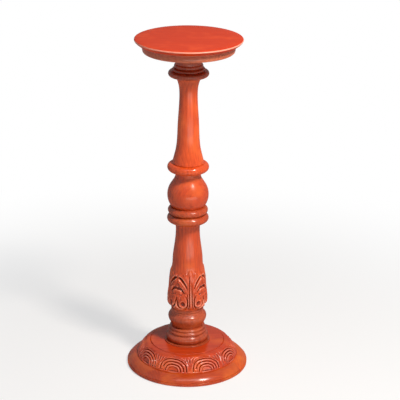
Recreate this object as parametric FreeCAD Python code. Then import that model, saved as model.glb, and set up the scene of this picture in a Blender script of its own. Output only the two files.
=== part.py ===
import FreeCAD, Part
import math
import os

# A round pedestal stand of lacquered mahogany: a disc top on a turned and carved column,
# which stands on a moulded round base. It is built up the way such a stand is turned,
# as short sections joined by hidden dowels, with one bolt that holds column and base.
# Millimetres, +Z up, the origin on the floor under the column, -Y towards the viewer.
# A section's heights are counted from its own lower face, which seats on the piece below.

# ---------------------------------------------------------------- fits
glue_gap = 0.15            # all round a dowel, a tongue or the base board
drill_clearance = 0.5      # all round the bolt where it passes through the plinth
dowel_end_gap = 1.5        # room for glue past each end of a dowel
screw_gap = 0.05           # all round a screw's thread in its own hole

# ---------------------------------------------------------------- felt pads
pad_radius = 12.0
pad_thickness = 1.5
pad_inset = 7.0            # from the base board's edge
pad_count = 4
pad_first_angle = 45.0
pad_edge = 0.5             # softened lower edge

# ---------------------------------------------------------------- base board
board_thickness = 16.0
nut_access_radius = 21.0   # hole that lets a socket wrench reach the nut

# ---------------------------------------------------------------- moulded rim, in four quarters
rim_outer_radius = 175.2
rim_width = 36.05          # outer edge to inner wall
rim_height = 28.0
rim_foot_height = 8.0      # the upright edge below the moulding
rim_foot_round = 1.0
rim_step = 2.4             # ledge between the upright edge and the swell above it
rim_swell_rise = 3.4       # how far the swell stands off a straight slope
rim_land_width = 8.0       # flat inner ledge that carries the plinth
rim_quirk = 1.2            # small step where the moulding leaves the ledge
rim_segment_count = 4
rim_first_joint_angle = -117.6
spline_thickness = 4.0
spline_width = 26.0        # across the joint
spline_length = 19.0       # along the joint
spline_height = 8.5        # its lower face above the rim's lower face
spline_inset = 9.0         # from the rim's inner wall

# ---------------------------------------------------------------- plinth, a turned and carved dome
plinth_height = 54.5       # base board to the flat top
plinth_band_drop = 42.0    # flat top down to the lower edge of the carved band
plinth_band_swell = 4.0    # how far the dome stands off a straight slope
plateau_groove_radius = 106.0
plateau_groove_width = 2.4
plateau_groove_depth = 1.6
plateau_shoulder_drop = 3.4
plateau_shoulder_width = 10.4

# ---------------------------------------------------------------- carved arches round the dome
arch_count = 8
arch_first_angle = -109.0
arch_half_width = 47.0     # of the outermost groove, at its feet
arch_height = 38.5         # of the outermost groove, up the slope
arch_ridge_width = 9.4     # groove to groove at the feet
arch_ridge_rise = 7.7      # groove to groove at the crown
arch_groove_count = 3
arch_groove_width = 3.2
arch_carving_depth = 2.6
arch_foot_edge = 2.0       # plain edge under the arches
finger_width = 3.4         # fluted fingers between two arches
finger_foot = 13.0         # up the slope
finger_height = 41.0
finger_lean = 13.0         # how far the outer fingers lean aside at their tips

# ---------------------------------------------------------------- baluster foot
foot_height = 105.0
foot_fillet_radius = 66.0
foot_fillet_height = 3.4
foot_fillet_round = 1.4
foot_torus_radius = 61.2
foot_torus_height = 23.4
foot_torus_root = 54.0
foot_ring_radius = 55.8    # first ring over the torus
foot_ring_height = 9.6
foot_upper_ring_radius = 51.6
foot_upper_ring_height = 8.8
foot_quirk = 1.3           # grooves between the rings, depth and width
cup_neck_radius = 43.0
cup_radius = 55.4
cup_hip_radius = 50.8
cup_shoulder_radius = 48.4
cup_neck_height = 48.4
cup_hip_height = 62.0
cup_belly_height = 76.0    # height of the widest circle
cup_shoulder_height = 89.2
cup_line = 1.0             # fine line cut on the cup's shoulder
foot_collar_radius = 46.8
foot_collar_height = 7.0

# ---------------------------------------------------------------- carved vase
vase_height = 263.0
vase_base_radius = 45.5
vase_base_height = 3.5
vase_lower_setback = 2.2   # how far inside the belly the curve is on its way up
vase_lower_height = 13.6
vase_belly_radius = 59.5
vase_belly_height = 31.5
vase_hip_radius = 56.4
vase_hip_height = 60.0
vase_shoulder_radius = 53.6
vase_shoulder_height = 93.0
vase_leaf_tip_radius = 48.4
vase_leaf_tip_height = 122.0
vase_taper_radius = 40.4
vase_taper_height = 178.0
vase_waist_radius = 34.3
vase_waist_height = 237.0
vase_top_radius = 35.6

# ---------------------------------------------------------------- carved leaves round the vase
leaf_count = 4
leaf_first_angle = -79.7
leaf_half_width = 46.0       # of one leaf, along the belly
leaf_tip_height = 119.0
leaf_notch_height = 103.0    # between the tip and a shoulder lobe
leaf_notch_across = 11.0
leaf_shoulder_height = 106.0
leaf_shoulder_across = 21.0
leaf_fork_height = 96.0      # between a shoulder lobe and the upper finger
leaf_fork_across = 29.0
leaf_finger_height = 100.5
leaf_finger_across = 40.0
leaf_valley_height = 88.0    # where two leaves meet
leaf_edge_step = 2.3         # leaf's edge over the plain vase above it
leaf_blend_height = 160.0    # where that step has died out
leaf_deep_cut = 4.2
leaf_shallow_cut = 2.3
gouge_root_across = 11.0     # deep cut beside the upper finger
gouge_root_height = 60.0
gouge_middle_across = 23.2
gouge_middle_height = 79.3
gouge_tip_across = 41.5
gouge_tip_height = 92.0
gouge_half_width = 3.9
bud_hollow_half_width = 24.0 # hollow over the buds, on the line between two leaves
bud_hollow_foot = 47.0
bud_hollow_height = 57.5
bud_hollow_top = 66.0
stem_groove_width = 3.2
stem_groove_offset = 4.3
stem_groove_foot = 9.0
stem_groove_left_top = 100.0
stem_groove_right_top = 76.0
eye_across = 26.5            # drilled eye of the lower lobe
eye_height = 18.0
eye_radius = 5.5
drop_height = 26.0           # groove round the lower lobe
drop_half_width = 16.3
drop_half_height = 20.5
drop_groove_width = 3.6
drop_open_height = 39.0      # the groove is open above this, towards the next leaf

# ---------------------------------------------------------------- double ring collar
collar_neck_radius = 36.4
collar_neck_height = 4.8     # plain neck under the lower ring
collar_root_radius = 41.0
collar_lower_radius = 59.3
collar_lower_height = 20.4
collar_fillet_radius = 56.0
collar_fillet_height = 3.6   # narrow fillet on the shoulder of each ring
collar_groove_radius = 49.0
collar_groove_height = 2.6
collar_upper_radius = 57.0
collar_upper_height = 17.0
collar_upper_fillet_radius = 52.4
collar_line = 1.0            # fine line under each fillet
collar_height = 48.5

# ---------------------------------------------------------------- ball
ball_height = 99.5
ball_base_radius = 46.8
ball_radius = 58.6
ball_belly_height = 31.5
ball_upper_radius = 55.0
ball_upper_height = 55.0
ball_shoulder_radius = 46.8
ball_shoulder_height = 70.0
ball_throat_radius = 38.8
ball_throat_height = 83.0
ball_neck_radius = 36.0
ball_neck_height = 91.5

# ---------------------------------------------------------------- upper shaft
shaft_height = 278.0
shaft_bead_root = 40.5
shaft_bead_lift = 6.8        # small cove under the bead
shaft_bead_radius = 58.9
shaft_bead_height = 22.0
shaft_groove_width = 1.6
shaft_groove_depth = 1.6
shaft_lip_radius = 45.0      # where the flare meets the groove
shaft_flare_radius = 41.0
shaft_flare_height = 46.5
shaft_throat_radius = 36.3
shaft_throat_height = 65.0
shaft_taper_hollow = 0.9     # how far the long taper hollows in at its middle
shaft_waist_radius = 25.5
shaft_waist_below_top = 56.0
shaft_head_radius = 28.0
shaft_head_below_top = 22.0
shaft_top_radius = 36.0

# ---------------------------------------------------------------- capital
capital_height = 55.5
capital_seat_radius = 37.0
capital_seat_height = 3.8
capital_bead_root = 41.6
capital_bead_start = 5.6
capital_bead_radius = 56.8
capital_bead_top_radius = 51.0
capital_bead_height = 13.4
capital_quirk = 1.2
capital_ring_radius = 47.2
capital_ring_top_radius = 42.4
capital_ring_height = 7.0
capital_upper_ring_radius = 40.8
capital_upper_ring_top_radius = 38.6
capital_upper_ring_height = 9.0
capital_neck_radius = 37.4
capital_neck_height = 10.0
capital_top_radius = 42.0

# ---------------------------------------------------------------- apron under the top
apron_height = 40.5
apron_flat_radius = 46.0     # flat seat for the capital
apron_bowl_radius = 90.0
apron_bowl_rise = 10.0
apron_radius = 128.6
apron_arris_setback = 1.4
apron_edge_rise = 18.8       # underside up to the upright edge
apron_edge_height = 16.6
apron_cove_radius = 132.0

# ---------------------------------------------------------------- top board
top_radius = 150.4
top_thickness = 13.0
top_nose_setback = 2.2       # the flat top stops this far inside the widest circle
top_lip_setback = 1.6
top_lip_rise = 2.0
top_lip_round = 2.4

# ---------------------------------------------------------------- dowels, screws and bolt
dowel_radius = 12.0
dowel_depth = 28.0           # into each wooden section
neck_dowel_shaft_depth = 40.0
neck_dowel_apron_depth = 24.0
dowel_chamfer = 1.5
flute_count = 12
flute_radius = 0.8

top_screw_count = 4
top_screw_circle_radius = 52.0
top_screw_first_angle = 0.0
top_screw_sink = 12.0        # counterbore depth in the apron
top_screw_bite = 8.0         # into the top board
base_screw_count = 4
base_screw_circle_radius = 88.0
base_screw_first_angle = 0.0
base_screw_sink = 2.0
base_screw_bite = 26.0       # into the plinth
screw_radius = 2.3
screw_core_radius = 1.6
screw_head_radius = 4.4
screw_head_height = 2.8
screw_pitch = 2.0
screw_slot_width = 1.0
screw_slot_length = 4.6
screw_slot_depth = 1.4

bolt_radius = 5.0
bolt_thread_depth = 0.8
bolt_pitch = 2.5
bolt_bite = 45.0             # into the column's foot
bolt_tip = 6.0
bolt_plain_gap = 4.0         # plain shank on each side of the joint
bolt_past_nut = 3.0
washer_radius = 15.0
washer_thickness = 2.5
nut_width = 17.0             # across flats
nut_height = 8.0
nut_gap = 0.1                # round the bolt's thread, in the nut and the washer

# ---------------------------------------------------------------- levels, from the floor up
board_bottom = pad_thickness
board_top = board_bottom + board_thickness
rim_top = board_bottom + rim_height
plateau_level = board_top + plinth_height
foot_bottom = plateau_level
vase_bottom = foot_bottom + foot_height
collar_bottom = vase_bottom + vase_height
ball_bottom = collar_bottom + collar_height
shaft_bottom = ball_bottom + ball_height
capital_bottom = shaft_bottom + shaft_height
apron_bottom = capital_bottom + capital_height
top_bottom = apron_bottom + apron_height
top_level = top_bottom + top_thickness

# ---------------------------------------------------------------- radii that neighbours share
rim_inner_radius = rim_outer_radius - rim_width
rim_land_radius = rim_inner_radius + rim_land_width
board_radius = rim_inner_radius - glue_gap
pad_circle_radius = board_radius - pad_inset - pad_radius

AXIS = FreeCAD.Vector(0, 0, 1)
ORIGIN = FreeCAD.Vector(0, 0, 0)


# ---------------------------------------------------------------- drawing a turned section
class Outline:
    """Half of a turned section, drawn from its lower face to its upper face."""

    def __init__(self, radius, level):
        self.level = level
        self.start = FreeCAD.Vector(radius, 0, level)
        self.here = self.start
        self.edges = []

    def point(self, radius, height):
        return FreeCAD.Vector(radius, 0, self.level + height)

    def height(self):
        return self.here.z - self.level

    def line(self, radius, height):
        end = self.point(radius, height)
        self.edges.append(Part.makeLine(self.here, end))
        self.here = end

    def bead(self, crest_radius, end_radius, end_height):
        """An arc that passes through the crest half way up."""
        end = self.point(end_radius, end_height)
        crest = self.point(crest_radius, (self.height() + end_height) / 2)
        self.edges.append(Part.Arc(self.here, crest, end).toShape())
        self.here = end

    def swell(self, stand_off, end_radius, end_height):
        """An arc that stands off its chord: outwards, or inwards where negative."""
        end = self.point(end_radius, end_height)
        chord = end - self.here
        outward = FreeCAD.Vector(chord.z, 0, -chord.x).normalize()
        middle = self.here + chord * 0.5 + outward * stand_off
        self.edges.append(Part.Arc(self.here, middle, end).toShape())
        self.here = end

    def curve(self, *points):
        """One smooth curve through the points, each a radius and a height."""
        stations = [self.here] + [self.point(radius, height) for radius, height in points]
        spline = Part.BSplineCurve()
        spline.interpolate(stations)
        self.edges.append(spline.toShape())
        self.here = stations[-1]

    def face(self):
        return Part.Face(Part.Wire(self.edges + [Part.makeLine(self.here, self.start)]))

    def solid(self):
        """Close the outline on the axis and turn it once round."""
        top = FreeCAD.Vector(0, 0, self.here.z)
        bottom = FreeCAD.Vector(0, 0, self.start.z)
        closing = [
            Part.makeLine(self.here, top),
            Part.makeLine(top, bottom),
            Part.makeLine(bottom, self.start),
        ]
        face = Part.Face(Part.Wire(self.edges + closing))
        return face.revolve(ORIGIN, AXIS, 360)


def cylinder(radius, bottom, top, x=0.0, y=0.0):
    return Part.makeCylinder(radius, top - bottom, FreeCAD.Vector(x, y, bottom))


def around(shape, count, first_angle):
    """Copies of a shape, evenly spaced round the column's axis."""
    copies = []
    for number in range(count):
        copy = shape.copy()
        copy.rotate(ORIGIN, AXIS, first_angle + 360.0 * number / count)
        copies.append(copy)
    return copies


def save(name, shapes):
    shape = shapes[0] if len(shapes) == 1 else Part.makeCompound(shapes)
    shape.exportStep("parts/" + name + ".step")
    print(name, len(shape.Solids), "solid(s), volume", round(shape.Volume), "mm3")


# ---------------------------------------------------------------- dowels and their sockets
def dowel(bottom, top):
    """A fluted dowel with chamfered ends."""
    rod = cylinder(dowel_radius, bottom, top)
    ends = [edge for edge in rod.Edges if isinstance(edge.Curve, Part.Circle)]
    rod = rod.makeChamfer(dowel_chamfer, ends)
    flute = cylinder(flute_radius, bottom - 1, top + 1, dowel_radius)
    return rod.cut(around(flute, flute_count, 0))


def socket(bottom, top):
    """The blind or through hole that a dowel glues into."""
    return cylinder(dowel_radius + glue_gap, bottom, top)


neck_dowel_bottom = capital_bottom - neck_dowel_shaft_depth
neck_dowel_top = apron_bottom + neck_dowel_apron_depth
neck_socket = socket(neck_dowel_bottom - dowel_end_gap, neck_dowel_top + dowel_end_gap)

shaft_dowel_bottom = shaft_bottom - dowel_depth
shaft_dowel_top = shaft_bottom + dowel_depth
shaft_socket = socket(shaft_dowel_bottom - dowel_end_gap, shaft_dowel_top + dowel_end_gap)

collar_dowel_bottom = collar_bottom - dowel_depth
collar_dowel_top = ball_bottom + dowel_depth
collar_socket = socket(collar_dowel_bottom - dowel_end_gap, collar_dowel_top + dowel_end_gap)

foot_dowel_bottom = vase_bottom - dowel_depth
foot_dowel_top = vase_bottom + dowel_depth
foot_socket = socket(foot_dowel_bottom - dowel_end_gap, foot_dowel_top + dowel_end_gap)


# ---------------------------------------------------------------- screws and their holes
def wood_screw(radius_from_axis, head_level, tip_level):
    """A countersunk screw with a cross slot. Its head faces down. The thread is drawn as rings."""
    shank_top = tip_level - screw_radius * 2
    outline = Outline(screw_head_radius, head_level)
    outline.line(screw_core_radius, screw_head_height)
    height = screw_head_height + screw_pitch
    while head_level + height + screw_pitch < shank_top:
        outline.line(screw_core_radius, height)
        outline.line(screw_radius, height + screw_pitch * 0.3)
        outline.line(screw_core_radius, height + screw_pitch * 0.6)
        height += screw_pitch
    outline.line(screw_core_radius, shank_top - head_level)
    outline.line(screw_core_radius * 0.2, tip_level - head_level)
    screw = outline.solid()
    for along, across in ((screw_slot_length, screw_slot_width), (screw_slot_width, screw_slot_length)):
        corner = FreeCAD.Vector(-along / 2, -across / 2, head_level)
        screw = screw.cut(Part.makeBox(along, across, screw_slot_depth, corner))
    screw.translate(FreeCAD.Vector(radius_from_axis, 0, 0))
    return screw


def screw_hole(radius_from_axis, mouth_level, head_level, tip_level):
    """Counterbore, countersink and pilot hole for one screw."""
    head = screw_head_radius + screw_gap
    pilot = screw_radius + screw_gap
    bore = cylinder(head, mouth_level, head_level, radius_from_axis)
    sink = Part.makeCone(head, pilot, screw_head_height, FreeCAD.Vector(radius_from_axis, 0, head_level))
    thread = cylinder(pilot, head_level, tip_level, radius_from_axis)
    return bore.fuse([sink, thread])


top_screw_head = apron_bottom + top_screw_sink
top_screw_tip = top_bottom + top_screw_bite
top_screw = wood_screw(top_screw_circle_radius, top_screw_head, top_screw_tip)
top_screws = around(top_screw, top_screw_count, top_screw_first_angle)
top_screw_hole = screw_hole(top_screw_circle_radius, apron_bottom, top_screw_head, top_screw_tip)
top_screw_holes = around(top_screw_hole, top_screw_count, top_screw_first_angle)

base_screw_head = board_bottom + base_screw_sink
base_screw_tip = board_top + base_screw_bite
base_screw = wood_screw(base_screw_circle_radius, base_screw_head, base_screw_tip)
base_screws = around(base_screw, base_screw_count, base_screw_first_angle)
base_screw_hole = screw_hole(base_screw_circle_radius, board_bottom, base_screw_head, base_screw_tip)
base_screw_holes = around(base_screw_hole, base_screw_count, base_screw_first_angle)

# ---------------------------------------------------------------- bolt, washer and nut
washer_bottom = board_top - washer_thickness
nut_bottom = washer_bottom - nut_height
bolt_bottom = nut_bottom - bolt_past_nut
bolt_top = foot_bottom + bolt_bite


def hanger_bolt():
    """Machine thread below, wood thread above, both drawn as rings on a plain shank."""
    core = bolt_radius - bolt_thread_depth
    outline = Outline(core, bolt_bottom)
    for start, end in (
        (bolt_bottom, foot_bottom - bolt_plain_gap),
        (foot_bottom + bolt_plain_gap, bolt_top - bolt_tip),
    ):
        level = start + bolt_pitch / 2
        while level + bolt_pitch < end:
            outline.line(core, level - bolt_bottom)
            outline.line(bolt_radius, level - bolt_bottom + bolt_pitch * 0.3)
            outline.line(core, level - bolt_bottom + bolt_pitch * 0.6)
            level += bolt_pitch
    outline.line(core, bolt_top - bolt_tip - bolt_bottom)
    outline.line(core * 0.2, bolt_top - bolt_bottom)
    return outline.solid()


def bolt_washer():
    disc = cylinder(washer_radius, washer_bottom, board_top)
    return disc.cut(cylinder(bolt_radius + nut_gap, washer_bottom, board_top))


def bolt_nut():
    """A hexagon nut with its corners chamfered."""
    corner_radius = nut_width / 2 / math.cos(math.radians(30))
    corners = []
    for number in range(7):
        angle = math.radians(60 * number)
        corners.append(FreeCAD.Vector(corner_radius * math.cos(angle), corner_radius * math.sin(angle), nut_bottom))
    hexagon = Part.Face(Part.makePolygon(corners)).extrude(FreeCAD.Vector(0, 0, nut_height))
    chamfer = corner_radius - nut_width / 2
    barrel = Outline(nut_width / 2, nut_bottom)
    barrel.line(corner_radius, chamfer)
    barrel.line(corner_radius, nut_height - chamfer)
    barrel.line(nut_width / 2, nut_height)
    nut = hexagon.common(barrel.solid())
    return nut.cut(cylinder(bolt_radius + nut_gap, nut_bottom, washer_bottom))


# ---------------------------------------------------------------- base
def felt_pads():
    disc = cylinder(pad_radius, 0, pad_thickness, pad_circle_radius)
    lower_rim = [edge for edge in disc.Edges if edge.BoundBox.ZMax < pad_thickness / 2]
    disc = disc.makeChamfer(pad_edge, lower_rim)
    return around(disc, pad_count, pad_first_angle)


def base_board():
    board = cylinder(board_radius, board_bottom, board_top)
    board = board.cut(cylinder(nut_access_radius, board_bottom, board_top))
    return board.cut(base_screw_holes)


def rim_face():
    """Section of the moulding: an upright edge, a ledge and a long swell up to the plinth."""
    swell_foot = rim_outer_radius - rim_step
    outline = Outline(rim_inner_radius, board_bottom)
    outline.line(rim_outer_radius - rim_foot_round, 0)
    outline.swell(rim_foot_round * 0.3, rim_outer_radius, rim_foot_round)
    outline.line(rim_outer_radius, rim_foot_height - rim_foot_round)
    outline.swell(rim_foot_round * 0.3, rim_outer_radius - rim_foot_round, rim_foot_height)
    outline.line(swell_foot, rim_foot_height)
    outline.line(swell_foot, rim_foot_height + rim_quirk)
    outline.swell(rim_swell_rise, rim_land_radius, rim_height - rim_quirk)
    outline.line(rim_land_radius, rim_height)
    outline.line(rim_inner_radius, rim_height)
    return outline.face()


def rim_spline(gap):
    """The loose tongue across a rim joint, or with a gap, the slot that takes it."""
    lower = board_bottom + spline_height - gap
    inner = rim_inner_radius + spline_inset - gap
    corner = FreeCAD.Vector(inner, -spline_width / 2 - gap, lower)
    return Part.makeBox(spline_length + 2 * gap, spline_width + 2 * gap, spline_thickness + 2 * gap, corner)


def rim_segments():
    """Quarters of the rim, slotted at both ends for the splines."""
    slots = around(rim_spline(glue_gap), rim_segment_count, rim_first_joint_angle)
    quarter = rim_face().revolve(ORIGIN, AXIS, 360.0 / rim_segment_count)
    return [segment.cut(slots) for segment in around(quarter, rim_segment_count, rim_first_joint_angle)]


# ---------------------------------------------------------------- drawing the carving
def flat_ellipse(across, up, half_width, half_height):
    """An upright flat ellipse that faces +X, with across along Y and up along Z."""
    centre = FreeCAD.Vector(0, across, up)
    side = centre + FreeCAD.Vector(0, half_width, 0)
    crown = centre + FreeCAD.Vector(0, 0, half_height)
    ends = (side, crown) if half_width >= half_height else (crown, side)
    return Part.Face(Part.Wire(Part.Ellipse(*ends, centre).toShape()))


def flat_box(left, bottom, right, top):
    """An upright flat rectangle that faces +X."""
    corners = ((left, bottom), (right, bottom), (right, top), (left, top), (left, bottom))
    return Part.Face(Part.makePolygon([FreeCAD.Vector(0, across, up) for across, up in corners]))


def crescent(start, middle_above, end, middle_below):
    """A flat shape between two arcs that share their ends, each point as across and up."""
    corners = [FreeCAD.Vector(0, *point) for point in (start, middle_above, end, middle_below)]
    above = Part.Arc(corners[0], corners[1], corners[2]).toShape()
    below = Part.Arc(corners[2], corners[3], corners[0]).toShape()
    return Part.Face(Part.Wire([above, below]))


def chisel(flat, start, end):
    """A cutting body: the flat shape, drawn out along +X from start to end."""
    placed = flat.copy()
    placed.translate(FreeCAD.Vector(start, 0, 0))
    return placed.extrude(FreeCAD.Vector(end - start, 0, 0))


# ---------------------------------------------------------------- carved dome
plinth_band_foot = plinth_height - plinth_band_drop + rim_quirk
plinth_foot_radius = rim_land_radius - rim_quirk
plateau_groove_outer = plateau_groove_radius + plateau_groove_width
plinth_shoulder_radius = plateau_groove_outer + plateau_shoulder_width
plinth_shoulder_height = plinth_height - plateau_shoulder_drop
plinth_slope = math.atan2(plinth_foot_radius - plinth_shoulder_radius, plinth_shoulder_height - plinth_band_foot)


def plinth_dome(sink):
    """The turned dome, with its band sunk by so much, square to the slope."""
    lap = rim_top - board_top
    inward = sink * math.cos(plinth_slope)
    down = sink * math.sin(plinth_slope)
    outline = Outline(board_radius, board_top)
    outline.line(board_radius, lap)
    outline.line(plinth_foot_radius - inward, lap)
    outline.line(plinth_foot_radius - inward, plinth_band_foot - down)
    outline.swell(plinth_band_swell, plinth_shoulder_radius - inward, plinth_shoulder_height - down)
    outline.line(plateau_groove_outer, plinth_height - plateau_groove_depth - down)
    outline.line(plateau_groove_radius + plateau_groove_width / 2, plinth_height - plateau_groove_depth * 2)
    outline.line(plateau_groove_radius, plinth_height)
    return outline.solid()


def arch_flats():
    """One arch: nested grooves and the hollow inside them, above the band's plain edge."""
    above_edge = flat_box(-2 * arch_half_width, arch_foot_edge, 2 * arch_half_width, 2 * arch_height)
    flats = []
    for number in range(arch_groove_count):
        half_width = arch_half_width - number * arch_ridge_width
        half_height = arch_height - number * arch_ridge_rise
        ring = flat_ellipse(0, 0, half_width, half_height)
        inner = flat_ellipse(0, 0, half_width - arch_groove_width, half_height - arch_groove_width)
        flats.append(ring.cut(inner).common(above_edge))
    pool_half_width = arch_half_width - arch_groove_count * arch_ridge_width
    pool_half_height = arch_height - arch_groove_count * arch_ridge_rise
    flats.append(flat_ellipse(0, 0, pool_half_width, pool_half_height).common(above_edge))
    return flats


def finger_flats():
    """Three fluted fingers, one upright and two that lean aside."""
    middle = (finger_foot + finger_height) / 2
    half = finger_width / 2
    upright = crescent((0, finger_foot), (half, middle), (0, finger_height), (-half, middle))
    flats = [upright]
    for hand in (1, -1):
        start = (hand * half, finger_foot)
        end = (hand * finger_lean, finger_height)
        bow = hand * finger_lean / 2
        flats.append(crescent(start, (bow + half, middle), end, (bow - half, middle)))
    return flats


def on_slope(flat, turn):
    """Stand a flat shape's cutting body on the band's slope, turned round the axis."""
    body = chisel(flat, -arch_half_width / 2, arch_half_width / 4)
    body.rotate(ORIGIN, FreeCAD.Vector(0, 1, 0), -math.degrees(plinth_slope))
    body.translate(FreeCAD.Vector(plinth_foot_radius, 0, board_top + plinth_band_foot))
    body.rotate(ORIGIN, AXIS, turn)
    return body


def carved_plinth():
    """The dome. It rests on the base board and laps over the rim's inner ledge."""
    bodies = [on_slope(flat, 0) for flat in arch_flats()]
    bodies += [on_slope(flat, 180.0 / arch_count) for flat in finger_flats()]
    core = plinth_dome(arch_carving_depth)
    cuts = []
    for body in bodies:
        cuts += around(body.cut(core), arch_count, arch_first_angle)
    dome = plinth_dome(0).cut(cuts)
    dome = dome.cut(cylinder(bolt_radius + drill_clearance, board_top, plateau_level))
    return dome.cut(base_screw_holes)


# ---------------------------------------------------------------- column
def baluster_foot():
    """Torus, two rings, and a cup that carries the vase."""
    fillet_top = foot_fillet_height
    torus_top = fillet_top + foot_torus_height
    ring_top = torus_top + foot_quirk + foot_ring_height
    upper_ring_top = ring_top + foot_quirk + foot_upper_ring_height
    collar_foot = foot_height - foot_collar_height
    outline = Outline(foot_fillet_radius, foot_bottom)
    outline.line(foot_fillet_radius, fillet_top - foot_fillet_round)
    outline.swell(foot_fillet_round * 0.4, foot_fillet_radius - foot_fillet_round, fillet_top)
    outline.line(foot_torus_root + foot_quirk, fillet_top)
    outline.bead(foot_torus_radius, foot_torus_root, torus_top)
    outline.line(foot_torus_root - foot_quirk, torus_top + foot_quirk)
    outline.bead(foot_ring_radius, foot_ring_radius - 4 * foot_quirk, ring_top)
    outline.line(foot_ring_radius - 5 * foot_quirk, ring_top + foot_quirk)
    outline.bead(foot_upper_ring_radius, foot_upper_ring_radius - 4 * foot_quirk, upper_ring_top)
    outline.line(cup_neck_radius, cup_neck_height)
    outline.curve(
        (cup_hip_radius, cup_hip_height),
        (cup_radius, cup_belly_height),
        (cup_shoulder_radius, cup_shoulder_height),
    )
    outline.line(cup_shoulder_radius - cup_line, cup_shoulder_height + cup_line)
    outline.swell(cup_line, foot_collar_radius - 2 * cup_line, collar_foot)
    outline.line(foot_collar_radius, collar_foot + cup_line)
    outline.line(foot_collar_radius, foot_height)
    foot = outline.solid()
    foot = foot.cut(foot_socket)
    return foot.cut(cylinder(bolt_radius + screw_gap, foot_bottom, bolt_top + dowel_end_gap))


vase_stations = (
    (vase_base_radius, vase_base_height),
    (vase_belly_radius - vase_lower_setback, vase_lower_height),
    (vase_belly_radius, vase_belly_height),
    (vase_hip_radius, vase_hip_height),
    (vase_shoulder_radius, vase_shoulder_height),
    (vase_leaf_tip_radius, vase_leaf_tip_height),
    (vase_taper_radius, vase_taper_height),
    (vase_waist_radius, vase_waist_height),
    (vase_top_radius, vase_height),
)


def turned_vase(sink):
    """The vase as it leaves the lathe, with its outside sunk by so much."""
    outline = Outline(vase_base_radius - sink, vase_bottom)
    outline.line(vase_base_radius - sink, vase_base_height)
    outline.curve(*[(radius - sink, height) for radius, height in vase_stations[1:]])
    return outline.solid()


def vase_radius(height):
    """The vase's radius at a height, near enough to place the carving."""
    for (low_radius, low), (high_radius, high) in zip(vase_stations, vase_stations[1:]):
        if low <= height <= high:
            return low_radius + (high_radius - low_radius) * (height - low) / (high - low)
    return vase_base_radius


def on_leaf(across, up, middle=0.0):
    """Where a point of the leaf lies, seen square on at the middle: across along Y, up along Z."""
    angle = math.radians((across - middle) / leaf_half_width * 180.0 / leaf_count)
    return (vase_radius(up) * math.sin(angle), up)


def leaf_turn(across):
    """The angle round the vase from the leaf's middle to a point across it."""
    return across / leaf_half_width * 180.0 / leaf_count


def radial(flat, turn):
    """A flat shape's cutting body, aimed at the vase's axis and turned round it."""
    body = chisel(flat, vase_top_radius / 2, vase_belly_radius + leaf_deep_cut)
    body.translate(FreeCAD.Vector(0, 0, vase_bottom))
    body.rotate(ORIGIN, AXIS, turn)
    return body


def leaf_contour(hand):
    """The leaf's upper edge on one side, as arcs from the tip's middle to the valley."""
    notch = on_leaf(leaf_notch_across * hand, leaf_notch_height)
    shoulder = on_leaf(leaf_shoulder_across * hand, leaf_shoulder_height)
    fork = on_leaf(leaf_fork_across * hand, leaf_fork_height)
    finger = on_leaf(leaf_finger_across * hand, leaf_finger_height)
    valley = on_leaf(leaf_half_width * hand, leaf_valley_height)
    return [(notch, shoulder, fork), (fork, finger, valley)]


def above_leaf():
    """What is turned away over one leaf, down to the plain vase. It dies out further up."""
    left, right = leaf_contour(1), leaf_contour(-1)
    tip = (left[0][0], on_leaf(0, leaf_tip_height), right[0][0])
    edges = []
    for points in left + [tip] + right:
        edges.append(Part.Arc(*[FreeCAD.Vector(0, *point) for point in points]).toShape())
    side = vase_belly_radius
    corners = [
        left[1][2],
        (side, leaf_valley_height),
        (side, leaf_blend_height),
        (-side, leaf_blend_height),
        (-side, leaf_valley_height),
        right[1][2],
    ]
    edges += Part.makePolygon([FreeCAD.Vector(0, *corner) for corner in corners]).Edges
    field = radial(Part.Face(Part.Wire(Part.__sortEdges__(edges))), 0)
    tip_radius = vase_radius(leaf_tip_height)
    step = Outline(vase_radius(leaf_valley_height) - leaf_edge_step, vase_bottom + leaf_valley_height)
    step.line(tip_radius - leaf_edge_step, leaf_tip_height - leaf_valley_height)
    step.line(vase_radius(leaf_blend_height) + leaf_edge_step / 3, leaf_blend_height - leaf_valley_height)
    step.line(2 * tip_radius, leaf_blend_height - leaf_valley_height)
    step.line(2 * tip_radius, 0)
    quarter = step.face().revolve(ORIGIN, AXIS, 360.0 / leaf_count)
    quarter.rotate(ORIGIN, AXIS, -180.0 / leaf_count)
    return field.common(quarter)


def finger_gouge(hand):
    """The deep cut beside the upper finger, aimed square to the leaf half way out."""
    run = FreeCAD.Vector(gouge_tip_across - gouge_root_across, gouge_tip_height - gouge_root_height, 0)
    spread = FreeCAD.Vector(-run.y, run.x, 0).normalize() * gouge_half_width
    points = []
    for across, up in (
        (gouge_root_across, gouge_root_height),
        (gouge_middle_across + spread.x, gouge_middle_height + spread.y),
        (gouge_tip_across, gouge_tip_height),
        (gouge_middle_across - spread.x, gouge_middle_height - spread.y),
    ):
        points.append(on_leaf(across * hand, up, eye_across * hand))
    return radial(crescent(*points), leaf_turn(eye_across * hand))


def bud_crescent():
    """The hollow over the buds, on the line between two leaves."""
    start = on_leaf(-bud_hollow_half_width, bud_hollow_foot)
    end = on_leaf(bud_hollow_half_width, bud_hollow_foot)
    above = on_leaf(0, bud_hollow_top)
    below = on_leaf(0, bud_hollow_height)
    return radial(crescent(start, above, end, below), leaf_turn(leaf_half_width))


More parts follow.
